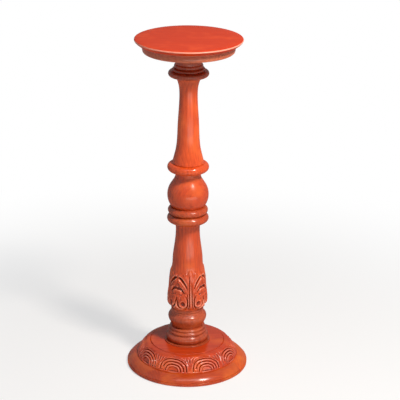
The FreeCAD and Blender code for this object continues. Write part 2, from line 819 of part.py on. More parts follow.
def drop_groove(hand):
    """The groove round the lower lobe, open above on the side of the next leaf."""
    ring = flat_ellipse(0, drop_height, drop_half_width + drop_groove_width / 2, drop_half_height)
    inner_width = drop_half_width - drop_groove_width / 2
    ring = ring.cut(flat_ellipse(0, drop_height, inner_width, drop_half_height - drop_groove_width))
    inner_side, outer_side = sorted((-drop_groove_width * hand, 2 * drop_half_width * hand))
    opening = flat_box(inner_side, drop_open_height, outer_side, 2 * drop_open_height)
    return radial(ring.cut(opening), leaf_turn(eye_across * hand))


def leaf_eye(hand):
    """The drilled eye of the lower lobe."""
    return radial(flat_ellipse(0, eye_height, eye_radius, eye_radius), leaf_turn(eye_across * hand))


def stem_groove(hand, top):
    """The straight groove on one side of the stem, up to its own top."""
    inner = hand * stem_groove_offset - stem_groove_width / 2
    return radial(flat_box(inner, stem_groove_foot, inner + stem_groove_width, top), 0)


def carved_vase():
    """The vase, with the main cuts of its leaves. A leaf's left is the viewer's left."""
    deep_core = turned_vase(leaf_deep_cut)
    shallow_core = turned_vase(leaf_shallow_cut)
    deep = [bud_crescent()]
    for hand in (1, -1):
        deep += [finger_gouge(hand), drop_groove(hand), leaf_eye(hand)]
    shallow = [stem_groove(-1, stem_groove_left_top), stem_groove(1, stem_groove_right_top)]
    cuts = [body.cut(deep_core) for body in deep] + [body.cut(shallow_core) for body in shallow]
    cuts.append(above_leaf())
    vase = turned_vase(0)
    for cut in cuts:
        vase = vase.cut(around(cut, leaf_count, leaf_first_angle))
    return vase.cut([foot_socket, collar_socket])


def ring_collar():
    """Two rings, each with a narrow fillet on its shoulder."""
    lower_fillet = collar_lower_height + collar_line
    groove = lower_fillet + collar_fillet_height
    upper_foot = groove + collar_groove_height
    upper_fillet = upper_foot + collar_upper_height + collar_line
    outline = Outline(collar_neck_radius, collar_bottom)
    outline.swell(-collar_line, collar_root_radius, collar_neck_height)
    outline.bead(collar_lower_radius, collar_fillet_radius, collar_lower_height)
    outline.line(collar_fillet_radius - collar_line, lower_fillet)
    outline.swell(collar_line, collar_groove_radius + collar_line, groove)
    outline.line(collar_groove_radius, groove + collar_groove_height / 2)
    outline.line(collar_groove_radius + collar_line, upper_foot)
    outline.bead(collar_upper_radius, collar_upper_fillet_radius, upper_foot + collar_upper_height)
    outline.line(collar_upper_fillet_radius - collar_line, upper_fillet)
    outline.line(collar_upper_fillet_radius - collar_line, collar_height - collar_line)
    outline.line(ball_base_radius, collar_height)
    return outline.solid().cut(collar_socket)


def ball_turning():
    outline = Outline(ball_base_radius, ball_bottom)
    outline.curve(
        (ball_radius, ball_belly_height),
        (ball_upper_radius, ball_upper_height),
        (ball_shoulder_radius, ball_shoulder_height),
        (ball_throat_radius, ball_throat_height),
        (ball_neck_radius, ball_neck_height),
    )
    outline.line(ball_neck_radius, ball_height)
    return outline.solid().cut([collar_socket, shaft_socket])


def upper_shaft():
    """A bead, a flare, and a long taper to a slim waist under the capital."""
    bead_top = shaft_bead_lift + shaft_bead_height
    lip = bead_top + shaft_groove_width
    waist_height = shaft_height - shaft_waist_below_top
    middle_height = (shaft_throat_height + waist_height) / 2
    middle_radius = (shaft_throat_radius + shaft_waist_radius) / 2 - shaft_taper_hollow
    outline = Outline(ball_neck_radius, shaft_bottom)
    outline.swell(-shaft_bead_lift * 0.3, shaft_bead_root, shaft_bead_lift)
    outline.bead(shaft_bead_radius, shaft_lip_radius, bead_top)
    outline.line(shaft_lip_radius - shaft_groove_depth, bead_top + shaft_groove_width / 2)
    outline.line(shaft_lip_radius, lip)
    outline.curve(
        (shaft_flare_radius, shaft_flare_height),
        (shaft_throat_radius, shaft_throat_height),
        (middle_radius, middle_height),
        (shaft_waist_radius, waist_height),
        (shaft_head_radius, shaft_height - shaft_head_below_top),
        (shaft_top_radius, shaft_height),
    )
    return outline.solid().cut([shaft_socket, neck_socket])


def capital():
    """A bead and two stepped rings that narrow to the neck."""
    bead_top = capital_bead_start + capital_bead_height
    ring_top = bead_top + capital_quirk + capital_ring_height
    upper_ring_top = ring_top + capital_quirk + capital_upper_ring_height
    outline = Outline(capital_seat_radius, capital_bottom)
    outline.line(capital_seat_radius, capital_seat_height)
    outline.line(capital_bead_root, capital_bead_start)
    outline.bead(capital_bead_radius, capital_bead_top_radius, bead_top)
    outline.line(capital_ring_radius - capital_quirk, bead_top + capital_quirk)
    outline.swell(capital_quirk * 1.2, capital_ring_top_radius, ring_top)
    outline.line(capital_upper_ring_radius - capital_quirk, ring_top + capital_quirk)
    outline.swell(capital_quirk * 1.2, capital_upper_ring_top_radius, upper_ring_top)
    outline.line(capital_neck_radius, upper_ring_top + capital_quirk)
    outline.line(capital_neck_radius, upper_ring_top + capital_quirk + capital_neck_height * 0.4)
    outline.curve(
        (capital_neck_radius + capital_quirk, upper_ring_top + capital_quirk + capital_neck_height),
        (capital_top_radius, capital_height),
    )
    return outline.solid().cut(neck_socket)


def top_apron():
    """The shallow bowl under the top."""
    arris = apron_radius - apron_arris_setback
    outline = Outline(apron_flat_radius, apron_bottom)
    outline.curve(
        (apron_bowl_radius, apron_bowl_rise),
        (arris - apron_arris_setback, apron_edge_rise - apron_arris_setback),
    )
    outline.line(arris, apron_edge_rise)
    outline.bead(apron_radius, arris, apron_edge_rise + apron_edge_height)
    outline.swell(-apron_arris_setback, apron_cove_radius, apron_height)
    return outline.solid().cut([neck_socket] + top_screw_holes)


def top_board():
    """The round top with its rounded nose."""
    lip_radius = top_radius - top_lip_setback
    outline = Outline(lip_radius - top_lip_round, top_bottom)
    outline.line(lip_radius, top_lip_rise)
    outline.bead(top_radius, top_radius - top_nose_setback, top_thickness)
    return outline.solid().cut(top_screw_holes)


# ---------------------------------------------------------------- write every piece
def main():
    os.makedirs("parts", exist_ok=True)
    print("overall height", top_level, "mm")
    save("felt_pads", felt_pads())
    save("base_board", [base_board()])
    save("base_screws", base_screws)
    for number, segment in enumerate(rim_segments(), start=1):
        save("rim_segment_%d" % number, [segment])
    save("rim_splines", around(rim_spline(0), rim_segment_count, rim_first_joint_angle))
    save("carved_plinth", [carved_plinth()])
    save("hanger_bolt", [hanger_bolt()])
    save("bolt_washer", [bolt_washer()])
    save("bolt_nut", [bolt_nut()])
    save("baluster_foot", [baluster_foot()])
    save("foot_dowel", [dowel(foot_dowel_bottom, foot_dowel_top)])
    save("carved_vase", [carved_vase()])
    save("collar_dowel", [dowel(collar_dowel_bottom, collar_dowel_top)])
    save("ring_collar", [ring_collar()])
    save("ball_turning", [ball_turning()])
    save("shaft_dowel", [dowel(shaft_dowel_bottom, shaft_dowel_top)])
    save("upper_shaft", [upper_shaft()])
    save("neck_dowel", [dowel(neck_dowel_bottom, neck_dowel_top)])
    save("capital", [capital()])
    save("top_apron", [top_apron()])
    save("top_screws", top_screws)
    save("top_board", [top_board()])


main()
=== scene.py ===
# %% [markdown]
# The object is a pedestal stand for a plant or a statue: a round top on a turned column, a carved vase
# with four acanthus leaves, and a domed base with a band of carved arches. It is mahogany under a glossy
# orange-red lacquer. The turned sections come from the frame as they are and only get their finish here.
# The vase and the dome are carved here, because carving is a surface that follows the turned shape, and
# the top board is turned again with a finer nose.

# %% Load the frame
import math

import bpy
import numpy as np
from mathutils import Matrix, Vector


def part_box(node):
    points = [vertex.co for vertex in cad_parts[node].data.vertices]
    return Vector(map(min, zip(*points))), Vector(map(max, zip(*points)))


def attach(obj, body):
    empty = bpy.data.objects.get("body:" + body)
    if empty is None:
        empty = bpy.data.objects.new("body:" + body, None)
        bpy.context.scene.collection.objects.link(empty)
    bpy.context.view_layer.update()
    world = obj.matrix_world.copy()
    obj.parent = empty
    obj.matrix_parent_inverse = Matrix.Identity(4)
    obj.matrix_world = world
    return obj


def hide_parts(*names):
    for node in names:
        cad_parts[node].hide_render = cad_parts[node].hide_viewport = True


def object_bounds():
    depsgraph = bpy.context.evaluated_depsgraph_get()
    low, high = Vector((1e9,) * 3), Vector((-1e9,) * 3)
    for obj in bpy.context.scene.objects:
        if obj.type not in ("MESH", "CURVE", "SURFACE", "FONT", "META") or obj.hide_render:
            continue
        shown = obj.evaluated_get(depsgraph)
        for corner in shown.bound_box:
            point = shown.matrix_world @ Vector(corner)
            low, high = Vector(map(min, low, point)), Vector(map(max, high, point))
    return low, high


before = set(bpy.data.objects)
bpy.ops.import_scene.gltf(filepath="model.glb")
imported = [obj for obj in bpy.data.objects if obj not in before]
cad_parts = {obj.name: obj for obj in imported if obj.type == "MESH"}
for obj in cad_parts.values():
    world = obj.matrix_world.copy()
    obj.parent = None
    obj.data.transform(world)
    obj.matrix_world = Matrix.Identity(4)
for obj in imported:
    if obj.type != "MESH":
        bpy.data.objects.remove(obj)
cad_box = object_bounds()
MM = 0.001
print("frame", len(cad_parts), "nodes, box", cad_box)

# %% [markdown]
# The camera that fits the photograph stands two metres up and four metres away, with a long lens, so the
# ellipses of top and base are flat and alike. It could be aimed at a target, but then its lean has no
# number of its own, so it is placed by its position and by how far it turns, looks down and leans.

# %% The camera
SENSOR_WIDTH = 36.0
LENS = 138.608
CAMERA_PLACE = Vector((0.0, -4.0992, 2.0182))
CAMERA_DOWN = math.radians(20.2706)
CAMERA_TURN = math.radians(0.4778)
CAMERA_LEAN = math.radians(0.4938)


def put_in_scene(name, data):
    """A new object with this data, linked to the scene."""
    thing = bpy.data.objects.new(name, data)
    bpy.context.collection.objects.link(thing)
    return thing


camera_data = bpy.data.cameras.new("camera")
camera_data.sensor_width = SENSOR_WIDTH
camera_data.lens = LENS
camera = put_in_scene("camera", camera_data)
turn = Matrix.Rotation(-CAMERA_TURN, 4, "Z")
tilt = Matrix.Rotation(math.radians(90) - CAMERA_DOWN, 4, "X")
lean = Matrix.Rotation(CAMERA_LEAN, 4, "Z")
camera.matrix_world = Matrix.Translation(CAMERA_PLACE) @ turn @ tilt @ lean
bpy.context.scene.camera = camera
bpy.context.scene.view_settings.view_transform = "Standard"
print("camera is", round(CAMERA_PLACE.length, 2), "m from the stand's foot")

# %% [markdown]
# Every material below is a small node tree, so three helpers come first. One turns an sRGB hex colour
# into the linear light that Blender works in. One adds a node of any kind with its settings and links,
# where a node given by itself stands for its first output. One makes a material: each finish is a
# function that adds its nodes to an empty tree and returns the surface.

# %% Helpers for node trees
WHITE = (1, 1, 1, 1)
SMOOTH = {"interpolation_type": "SMOOTHSTEP"}  # a range that eases in and out
COLOURS = {"data_type": "RGBA"}  # a mix of two colours


def linear(hex_colour):
    """An sRGB hex colour as linear RGBA."""
    channels = []
    for start in (0, 2, 4):
        value = int(hex_colour[start:start + 2], 16) / 255
        channels.append(value / 12.92 if value <= 0.04045 else ((value + 0.055) / 1.055) ** 2.4)
    return (*channels, 1.0)


def add(tree, kind, settings=None, inputs=None):
    """Adds a node. Settings are its own properties; an input is a value, a socket or a node to link."""
    node = tree.nodes.new(kind if "Node" in kind else "ShaderNode" + kind)
    for name, value in (settings or {}).items():
        setattr(node, name, value)
    for name, value in (inputs or {}).items():
        if isinstance(value, bpy.types.Node):
            value = value.outputs[0]
        if isinstance(value, bpy.types.NodeSocket):
            tree.links.new(value, node.inputs[name])
        else:
            node.inputs[name].default_value = value
    return node


def new_material(name, finish, *details):
    """A material with the surface that this finish makes of its details."""
    material = bpy.data.materials.new(name)
    material.use_nodes = True
    tree = material.node_tree
    tree.nodes.clear()
    add(tree, "OutputMaterial", {}, {"Surface": finish(tree, *details)})
    return material


print("a mid grey, 808080, is", round(linear("808080")[0], 3), "in linear light")

# %% [markdown]
# The stand is shown on white, as in the photograph. A white floor under soft light is never quite even,
# so the camera sees it as part lit surface, part plain white, which keeps a light shadow, and further off
# it fades to plain white. The world shows the same white to the camera and in reflections. More light on
# the floor would whiten it too, but it would bleach the stand, so what lights the stand is set apart.

# %% Floor and world
FLOOR_REACH = 40.0  # m from the middle to each side
FLOOR_FADE_START = 0.4  # m from the column's axis
FLOOR_FADE_END = 1.6
FLOOR_COLOUR = linear("F2F2F2")
NEAR_WHITE = 0.62  # share of plain white that the camera sees on the floor beside the stand
WORLD_FILL = 0.1
WORLD_FILL_COLOUR = linear("F4F6FF")


def white_rays(tree):
    """1 for rays that see the background itself, 0 for light that falls on the stand."""
    path = add(tree, "LightPath")
    seen = add(tree, "Math", {"operation": "MAXIMUM"},
               {0: path.outputs["Is Camera Ray"], 1: path.outputs["Is Glossy Ray"]})
    return add(tree, "Math", {"operation": "MAXIMUM"}, {0: seen, 1: path.outputs["Is Transmission Ray"]})


def make_world():
    """White where it is seen, and a faint even fill where it lights the stand."""
    world = bpy.data.worlds.new("soft white surroundings")
    world.use_nodes = True
    tree = world.node_tree
    tree.nodes.clear()
    fill = add(tree, "Background", {}, {"Color": WORLD_FILL_COLOUR, "Strength": WORLD_FILL})
    white = add(tree, "Background", {}, {"Color": WHITE, "Strength": 1.0})
    mixed = add(tree, "MixShader", {}, {0: white_rays(tree), 1: fill, 2: white})
    add(tree, "OutputWorld", {}, {"Surface": mixed})
    bpy.context.scene.world = world


def studio_floor(tree):
    """Matt and lit beside the stand, and plain white further off for the rays that see it."""
    place = add(tree, "TexCoord")
    away = add(tree, "VectorMath", {"operation": "LENGTH"}, {0: place.outputs["Object"]})
    fade = add(tree, "MapRange", SMOOTH,
               {"Value": away.outputs["Value"], "From Min": FLOOR_FADE_START, "From Max": FLOOR_FADE_END,
                "To Min": NEAR_WHITE})
    shown = add(tree, "Math", {"operation": "MULTIPLY"}, {0: fade, 1: white_rays(tree)})
    matt = add(tree, "BsdfDiffuse", {}, {"Color": FLOOR_COLOUR})
    glow = add(tree, "Emission", {}, {"Color": WHITE, "Strength": 1.0})
    return add(tree, "MixShader", {}, {0: shown, 1: matt, 2: glow})


def make_floor():
    """One large square under the stand. It belongs to the stage and not to the object."""
    mesh = bpy.data.meshes.new("floor")
    corners = [(x * FLOOR_REACH, y * FLOOR_REACH, 0) for x, y in ((-1, -1), (1, -1), (1, 1), (-1, 1))]
    mesh.from_pydata(corners, [], [(0, 1, 2, 3)])
    mesh.materials.append(new_material("white studio floor", studio_floor))
    floor = put_in_scene("floor", mesh)


make_world()
make_floor()
print("floor", 2 * FLOOR_REACH, "m wide, plain white from", FLOOR_FADE_END, "m away")

# %% [markdown]
# Lacquer shows its gloss only when it has something bright to mirror. One lamp stands high on the right,
# in front: it makes the highlights, and the shadows that slant down to the left under each ring. A wide,
# soft one over the front stretches the highlights sideways. A weak one on the left keeps the shade open,
# and a low one lights the undersides, as pale ground does out of doors. One sky could light it all, but
# lamps can be set one by one, until each shadow lies as in the photograph.

# %% Lamps
LAMPS = (  # name, azimuth and elevation in degrees, distance and sides in m, W, colour
    ("key", -47, 51, 2.8, (0.4, 0.4), 78, "FFF6EC"),
    ("wide", -75, 60, 2.4, (2.4, 0.4), 16, "FFFFFF"),
    ("fill", -165, 25, 3.0, (1.8, 1.8), 3, "EAF0FF"),
    ("ground light", -70, -11, 2.0, (2.2, 0.5), 14, "FFF2E4"),
)


def area_lamp(name, azimuth, elevation, distance, sides, power, colour):
    """A rectangular lamp that looks at the middle of the stand from the given direction."""
    data = bpy.data.lights.new(name, "AREA")
    data.shape = "RECTANGLE"
    data.size, data.size_y = sides
    data.energy = power
    data.color = linear(colour)[:3]
    lamp = put_in_scene(name, data)
    across = math.cos(math.radians(elevation)) * distance
    middle = Vector((0, 0, cad_box[1][2] / 2))
    place = Vector((across * math.cos(math.radians(azimuth)), across * math.sin(math.radians(azimuth)),
                    math.sin(math.radians(elevation)) * distance)) + middle
    lamp.location = place
    lamp.rotation_euler = (place - middle).to_track_quat("Z", "Y").to_euler()


for lamp in LAMPS:
    area_lamp(*lamp)
print(len(LAMPS), "lamps")

# %% [markdown]
# Mahogany has faint growth rings, a ribbon of lighter and darker streaks along the grain, and short dark
# pores. On a turned piece the rings come out as upright streaks, and as arches where it swells. A flat
# picture of wood, wrapped round, would smear there. Rings about an axis that stands off to the side of
# the piece make all of that by themselves, as in a real log, so the pattern is worked out in space.

# %% The colour of mahogany
RING_SPACING = 7.0  # mm between growth rings
RING_STRENGTH = 0.3  # how much the rings add to the streaks
STREAK_WIDTH = 6.0  # mm across a ribbon streak
PORE_WIDTH = 0.9  # mm; real pores are 0.3 mm, drawn wider so that they show
BLOTCH_WIDTH = 1000 / 14  # mm; fourteen warm blotches to the metre
GRAIN_STRETCH = 0.07  # a streak's width as a share of its length
PORE_COLOUR = linear("7A1F0A")
WAVE_RING_FACTOR = 2 * math.pi / 20  # the wave texture's own scale for one ring per metre
UPRIGHT = (0.0, 0.0, 0.0)
ALONG_X = (0.0, math.radians(90), 0.0)


def mahogany_colour(tree, light, dark, patch, grain, pith):
    """The wood's colour. Grain turns the pattern so that its Z runs along the wood; pith shifts it."""
    place = add(tree, "TexCoord")
    log = add(tree, "Mapping", {"vector_type": "TEXTURE"},
              {"Vector": place.outputs["Object"], "Location": pith, "Rotation": grain})
    drawn = add(tree, "Mapping", {}, {"Vector": log, "Scale": (1, 1, GRAIN_STRETCH)})
    rings = add(tree, "TexWave",
                {"wave_type": "RINGS", "rings_direction": "Z", "wave_profile": "SAW"},
                {"Vector": drawn, "Scale": WAVE_RING_FACTOR / (RING_SPACING * MM),
                 "Distortion": 5.0, "Detail": 3.0, "Detail Scale": 0.35})
    streaks = add(tree, "TexNoise", {}, {"Vector": drawn, "Scale": 1 / (STREAK_WIDTH * MM), "Detail": 5.0})
    pores = add(tree, "TexNoise", {}, {"Vector": drawn, "Scale": 1 / (PORE_WIDTH * MM), "Detail": 2.0})
    blotches = add(tree, "TexNoise", {}, {"Vector": log, "Scale": 1 / (BLOTCH_WIDTH * MM), "Detail": 2.0})
    ribbon = add(tree, "Math", {"operation": "MULTIPLY_ADD"},
                 {0: rings.outputs["Fac"], 1: RING_STRENGTH, 2: streaks.outputs["Fac"]})
    shade = add(tree, "MapRange", {}, {"Value": ribbon, "From Min": 0.4, "From Max": 0.95, "To Max": 0.8})
    wood = add(tree, "Mix", COLOURS, {0: shade, 6: linear(light), 7: linear(dark)})
    spread = add(tree, "MapRange", SMOOTH,
                 {"Value": blotches.outputs["Fac"], "From Min": 0.48, "From Max": 0.72, "To Max": 0.75})
    warm = add(tree, "Mix", COLOURS, {0: spread, 6: wood.outputs[2], 7: linear(patch)})
    dots = add(tree, "MapRange", {},
               {"Value": pores.outputs["Fac"], "From Min": 0.62, "From Max": 0.78, "To Max": 0.3})
    return add(tree, "Mix", COLOURS, {0: dots, 6: warm.outputs[2], 7: PORE_COLOUR}).outputs[2]


print("a streak is", STREAK_WIDTH, "mm wide and", round(STREAK_WIDTH / GRAIN_STRETCH), "mm long")

# %% [markdown]
# The lacquer is a clear, glossy coat with a hint of brush waviness. One glossy surface would do for a
# plain varnish. Here the wood itself stays dull and all the gloss comes from a coat over it, so that the
# red keeps its depth. The coat is thin in weight and high in IOR: it mirrors the lamps well, and isn't
# bleached by the white surroundings at flat angles.

# %% Lacquer over the wood
BRUSH_WAVE = 14.0  # mm between the soft waves in the lacquer
BRUSH_DEPTH = 0.4  # mm from crest to trough
LACQUER_GLOSS = 0.2


def brushed_waves(tree):
    """The lacquer's soft unevenness, as a normal."""
    place = add(tree, "TexCoord")
    waves = add(tree, "TexNoise", {},
                {"Vector": place.outputs["Object"], "Scale": 1 / (BRUSH_WAVE * MM), "Detail": 1.0})
    return add(tree, "Bump", {},
               {"Height": waves.outputs["Fac"], "Strength": 0.25, "Distance": BRUSH_DEPTH * MM})


def lacquer(tree, colour, gloss=LACQUER_GLOSS):
    """Dull wood of this colour under a clear coat."""
    return add(tree, "BsdfPrincipled", {},
               {"Base Color": colour, "Roughness": 0.6, "Specular IOR Level": 0.0, "Coat Weight": gloss,
                "Coat Roughness": 0.2, "Coat IOR": 2.2, "Coat Normal": brushed_waves(tree)})


def lacquered_mahogany(tree, light, dark, patch, grain, pith):
    """Turned mahogany, stained orange-red and lacquered: deep and even, with a glossy top coat."""
    return lacquer(tree, mahogany_colour(tree, light, dark, patch, grain, pith))


def finish_node(node, material):
    """Gives one of the frame's own pieces its finish."""
    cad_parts[node].material_slots[0].material = material


print("the lacquer's waves are", BRUSH_WAVE, "mm apart")

# %% [markdown]
# Each section was turned from its own blank, so each gets its own place in the log and a slightly
# different tone. The apron is a disc with its grain lying down, and its paler tone is painted light from
# below. The four rim quarters are cut with the grain along each quarter, and one of them is from a paler
# board. One material for all would be shorter, but then the streaks would run on across the joints, as
# they never do in real wood.

# %% Finish the turned sections
SECTIONS = {  # light, dark and warm tone, the way the grain lies, and the place in the log
    # the apron's pale, pinkish brown is painted light: it stands in for light thrown up from pale ground
    "top_apron": ("C86A4A", "A8502E", "CE7650", ALONG_X, (0.05, 0.27, 0.88)),
    "capital": ("A84628", "843018", "B4562E", UPRIGHT, (0.07, -0.02, 0.1)),
    "upper_shaft": ("D4501E", "AE3A12", "DE6226", UPRIGHT, (0.065, 0.03, 0.3)),
    "ball_turning": ("C8481E", "A03412", "D05A26", UPRIGHT, (-0.05, 0.07, 0.2)),
    "ring_collar": ("B8481F", "8C3012", "C25A26", UPRIGHT, (0.06, 0.06, 0.6)),
    "baluster_foot": ("B04A2A", "863216", "BC5830", UPRIGHT, (-0.07, 0.04, 0.8)),
}
for node, recipe in SECTIONS.items():
    name = "lacquered mahogany, " + node.replace("_", " ")
    finish_node(node, new_material(name, lacquered_mahogany, *recipe))

RIM_TONES = (
    ("BC4618", "9A3010", "CC5E20"),
    ("D85A12", "B8440E", "E87A1A"),
    ("B84216", "96300E", "C85A1E"),
    ("B03E16", "8E2C0E", "C0541C"),
)
RIM_FIRST_MIDDLE = -72.6  # degrees, the middle of the first quarter
for number, tones in enumerate(RIM_TONES, start=1):
    middle = math.radians(RIM_FIRST_MIDDLE + 90 * (number - 1))
    along_quarter = (0.0, math.radians(90), middle + math.radians(90))
    quarter_wood = new_material("lacquered mahogany, rim quarter %d" % number, lacquered_mahogany, *tones,
                                along_quarter, (0.03 * number, 0.05, 0.07))
    finish_node("rim_segment_%d" % number, quarter_wood)
print("finished", len(SECTIONS), "turned sections and", len(RIM_TONES), "rim quarters")

# %% [markdown]
# Under the base board the mahogany was sanded and sealed but not polished. The dowels and the tongues in
# the rim are planed beech: pale, close-grained, with short dark flecks. Both could share one wood tree,
# but beech shows no rings at this size, so a stretched noise alone makes its flecks.

# %% Bare mahogany and beech
FLECK_WIDTH = 1000 / 900  # mm; nine hundred flecks to the metre across the grain
FLECK_STRETCH = 0.1  # a fleck's width as a share of its length


def bare_mahogany(tree):
    """Sanded and sealed, unpolished: the wood's own brown, with almost no gloss."""
    colour = mahogany_colour(tree, "8C5238", "5F3020", "99623F", ALONG_X, (0.05, 0.3, 0.1))
    return add(tree, "BsdfPrincipled", {}, {"Base Color": colour, "Roughness": 0.6, "IOR": 1.5})


def planed_beech(tree):
    """Beech: pale, with short dark flecks along the grain and a dull, dry surface."""
    place = add(tree, "TexCoord")
    drawn = add(tree, "Mapping", {}, {"Vector": place.outputs["Object"], "Scale": (1, 1, FLECK_STRETCH)})
    flecks = add(tree, "TexNoise", {}, {"Vector": drawn, "Scale": 1 / (FLECK_WIDTH * MM), "Detail": 3.0})
    colour = add(tree, "Mix", COLOURS, {0: flecks.outputs["Fac"], 6: linear("D9B98C"), 7: linear("B98F60")})
    return add(tree, "BsdfPrincipled", {}, {"Base Color": colour.outputs[2], "Roughness": 0.7, "IOR": 1.5})


finish_node("base_board", new_material("sealed bare mahogany", bare_mahogany))
BEECH_NODES = ("neck_dowel", "shaft_dowel", "collar_dowel", "foot_dowel", "rim_splines")
beech = new_material("planed beech", planed_beech)
for node in BEECH_NODES:
    finish_node(node, beech)
print("beech on", len(BEECH_NODES), "nodes")

# %% [markdown]
# The screws and the bolt with its washer and nut are steel with bright zinc plate, and pads of pressed
# felt are glued under the foot. Plating is faintly cloudy, so a noise makes its gloss uneven and leaves
# its colour alone. Felt could be built from hairs, but under a foot it is only seen as a dark, matted
# cloth, so a fine noise colours it and raises its nap.

# %% Zinc plate and felt
CLOUD_WIDTH = 2.5  # mm across a cloudy patch of the plating
FIBRE_WIDTH = 1000 / 1500  # mm; wool is 0.03 mm, drawn wider so that it shows


def zinc_plate(tree):
    """Bright zinc plate on steel: a bluish grey metal with a gloss that is faintly cloudy."""
    place = add(tree, "TexCoord")
    cloud = add(tree, "TexNoise", {},
                {"Vector": place.outputs["Object"], "Scale": 1 / (CLOUD_WIDTH * MM), "Detail": 2.0})
    gloss = add(tree, "MapRange", {}, {"Value": cloud.outputs["Fac"], "To Min": 0.22, "To Max": 0.42})
    return add(tree, "BsdfPrincipled", {},
               {"Base Color": linear("C2C4C6"), "Metallic": 1.0, "Roughness": gloss})


def pressed_felt(tree):
    """Wool felt: fibres matted in all directions, so it is dark, soft and without any gloss."""
    place = add(tree, "TexCoord")
    fibres = add(tree, "TexNoise", {},
                 {"Vector": place.outputs["Object"], "Scale": 1 / (FIBRE_WIDTH * MM), "Detail": 4.0,
                  "Distortion": 1.5})
    colour = add(tree, "Mix", COLOURS, {0: fibres.outputs["Fac"], 6: linear("2B1B12"), 7: linear("553A29")})
    nap = add(tree, "Bump", {}, {"Height": fibres.outputs["Fac"], "Strength": 0.6, "Distance": 0.3 * MM})
    return add(tree, "BsdfPrincipled", {},
               {"Base Color": colour.outputs[2], "Roughness": 0.95, "Sheen Weight": 0.4,
                "Normal": nap})


STEEL_NODES = ("top_screws", "base_screws", "hanger_bolt", "bolt_washer", "bolt_nut")
zinc = new_material("bright zinc plate", zinc_plate)
for node in STEEL_NODES:
    finish_node(node, zinc)
finish_node("felt_pads", new_material("pressed felt", pressed_felt))
print("zinc plate on", len(STEEL_NODES), "nodes, felt on one")

# %% [markdown]
# Both carved pieces are turned first and carved afterwards, on the real stand and here. So each starts
# as an outline of radius and height, and carving moves each point of that surface inwards, square to the
# outline, by the depth that the chisel reached there. A displacement picture could do that too, but here
# every depth comes from a size in millimetres. First come the tools for outlines: one curve bends evenly
# through a few points, as a thin batten would, and the other is a plain arc.

# %% Curves for outlines
CURVE_SAMPLES = 40  # from each point of an outline to the next, before they are spaced evenly


def evenly(curve, spacing):
    """The same curve with its samples at one even spacing along it."""
    along = np.concatenate(([0], np.cumsum(np.linalg.norm(np.diff(curve, axis=0), axis=1))))
    count = max(2, int(round(along[-1] / spacing)) + 1)
    even = np.linspace(0, along[-1], count)
    return np.column_stack([np.interp(even, along, column) for column in curve.T])


def outline_through(points, spacing):
    """A cubic curve of even bending through an outline's points, sampled at an even spacing."""
    points = np.asarray(points, dtype=float)
    chord = np.linalg.norm(np.diff(points, axis=0), axis=1)
    slope = np.diff(points, axis=0) / chord[:, None]
    balance = np.eye(len(points))
    wanted = np.zeros_like(points)
    wanted[0] = slope[0] - (slope[1] - slope[0]) * chord[0] / (chord[0] + chord[1])
    wanted[-1] = slope[-1] + (slope[-1] - slope[-2]) * chord[-1] / (chord[-1] + chord[-2])
    for at in range(1, len(points) - 1):
        before, after = chord[at - 1], chord[at]
        balance[at, at - 1:at + 2] = after, 2 * (before + after), before
        wanted[at] = 3 * (after * slope[at - 1] + before * slope[at])
    tangent = np.linalg.solve(balance, wanted)
    part = np.linspace(0, 1, CURVE_SAMPLES + 1)[1:, None]
    near_start = 2 * part ** 3 - 3 * part ** 2 + 1
    near_end = 3 * part ** 2 - 2 * part ** 3
    bend_start = part ** 3 - 2 * part ** 2 + part
    bend_end = part ** 3 - part ** 2
    samples = [points[:1]]
    for at, run in enumerate(chord):
        samples.append(near_start * points[at] + near_end * points[at + 1]
                       + run * (bend_start * tangent[at] + bend_end * tangent[at + 1]))
    return evenly(np.vstack(samples), spacing)


def arc_through(start, end, stand_off, spacing):
    """An arc of an outline that stands off its chord, as a turned swell does."""
    start, end = np.array(start), np.array(end)
    half = np.linalg.norm(end - start) / 2
    radius = (half ** 2 + stand_off ** 2) / (2 * stand_off)
    along = (end - start) / (2 * half)
    square = np.array((along[1], -along[0]))
    centre = (start + end) / 2 - square * (radius - stand_off)
    reach = math.asin(half / radius)
    angle = np.linspace(-reach, reach, int(round(2 * reach * radius / spacing)) + 1)[:, None]
    return centre + radius * (np.sin(angle) * along + np.cos(angle) * square)


def outward(curve):
    """Unit normals of an outline of radius and height that runs from its foot upwards."""
    slope = np.gradient(curve, axis=0)
    slope /= np.linalg.norm(slope, axis=1)[:, None]
    return np.column_stack((slope[:, 1], -slope[:, 0]))


print("an arc over a 30 mm chord has", len(arc_through((0, 0), (0, 30), 4, 1)), "samples at 1 mm")

# %% [markdown]
# One bay of carving is a grid: columns round the axis, rows up the outline. Its mesh is a closed wedge
# of the piece, cut through to the middle, so that the bays weld into one solid. A full ring could be one
# grid too, but a bay is quicker to work out, and its copies are sure to be alike. How much deeper each
# point lies than the carving around it is kept as an attribute: it is high in a groove and negative on a
# ridge, so the finish can tell where to paint shade and where to paint a highlight.

# %% One bay of a carved piece
RELIEF_WINDOW = 5  # grid steps each way over which the carving around a point is averaged


def relief(depths):
    """Depth less the average depth around it, for a bay whose first and last columns meet."""
    total = np.zeros_like(depths)
    ring = depths[:-1]
    for shift in range(-RELIEF_WINDOW, RELIEF_WINDOW + 1):
        turned = np.roll(ring, shift, axis=0)
        total += np.vstack((turned, turned[:1]))
    rows = np.pad(total / (2 * RELIEF_WINDOW + 1), ((0, 0), (RELIEF_WINDOW, RELIEF_WINDOW)), mode="edge")
    window = np.zeros_like(depths)
    for shift in range(2 * RELIEF_WINDOW + 1):
        window += rows[:, shift:shift + depths.shape[1]]
    return depths - window / (2 * RELIEF_WINDOW + 1)


def keep_hollow(mesh, values):
    """Stores how deep each point lies in the carving around it, in mm, for the finish to read."""
    mesh.attributes.new("hollow", "FLOAT", "POINT").data.foreach_set("value", values)


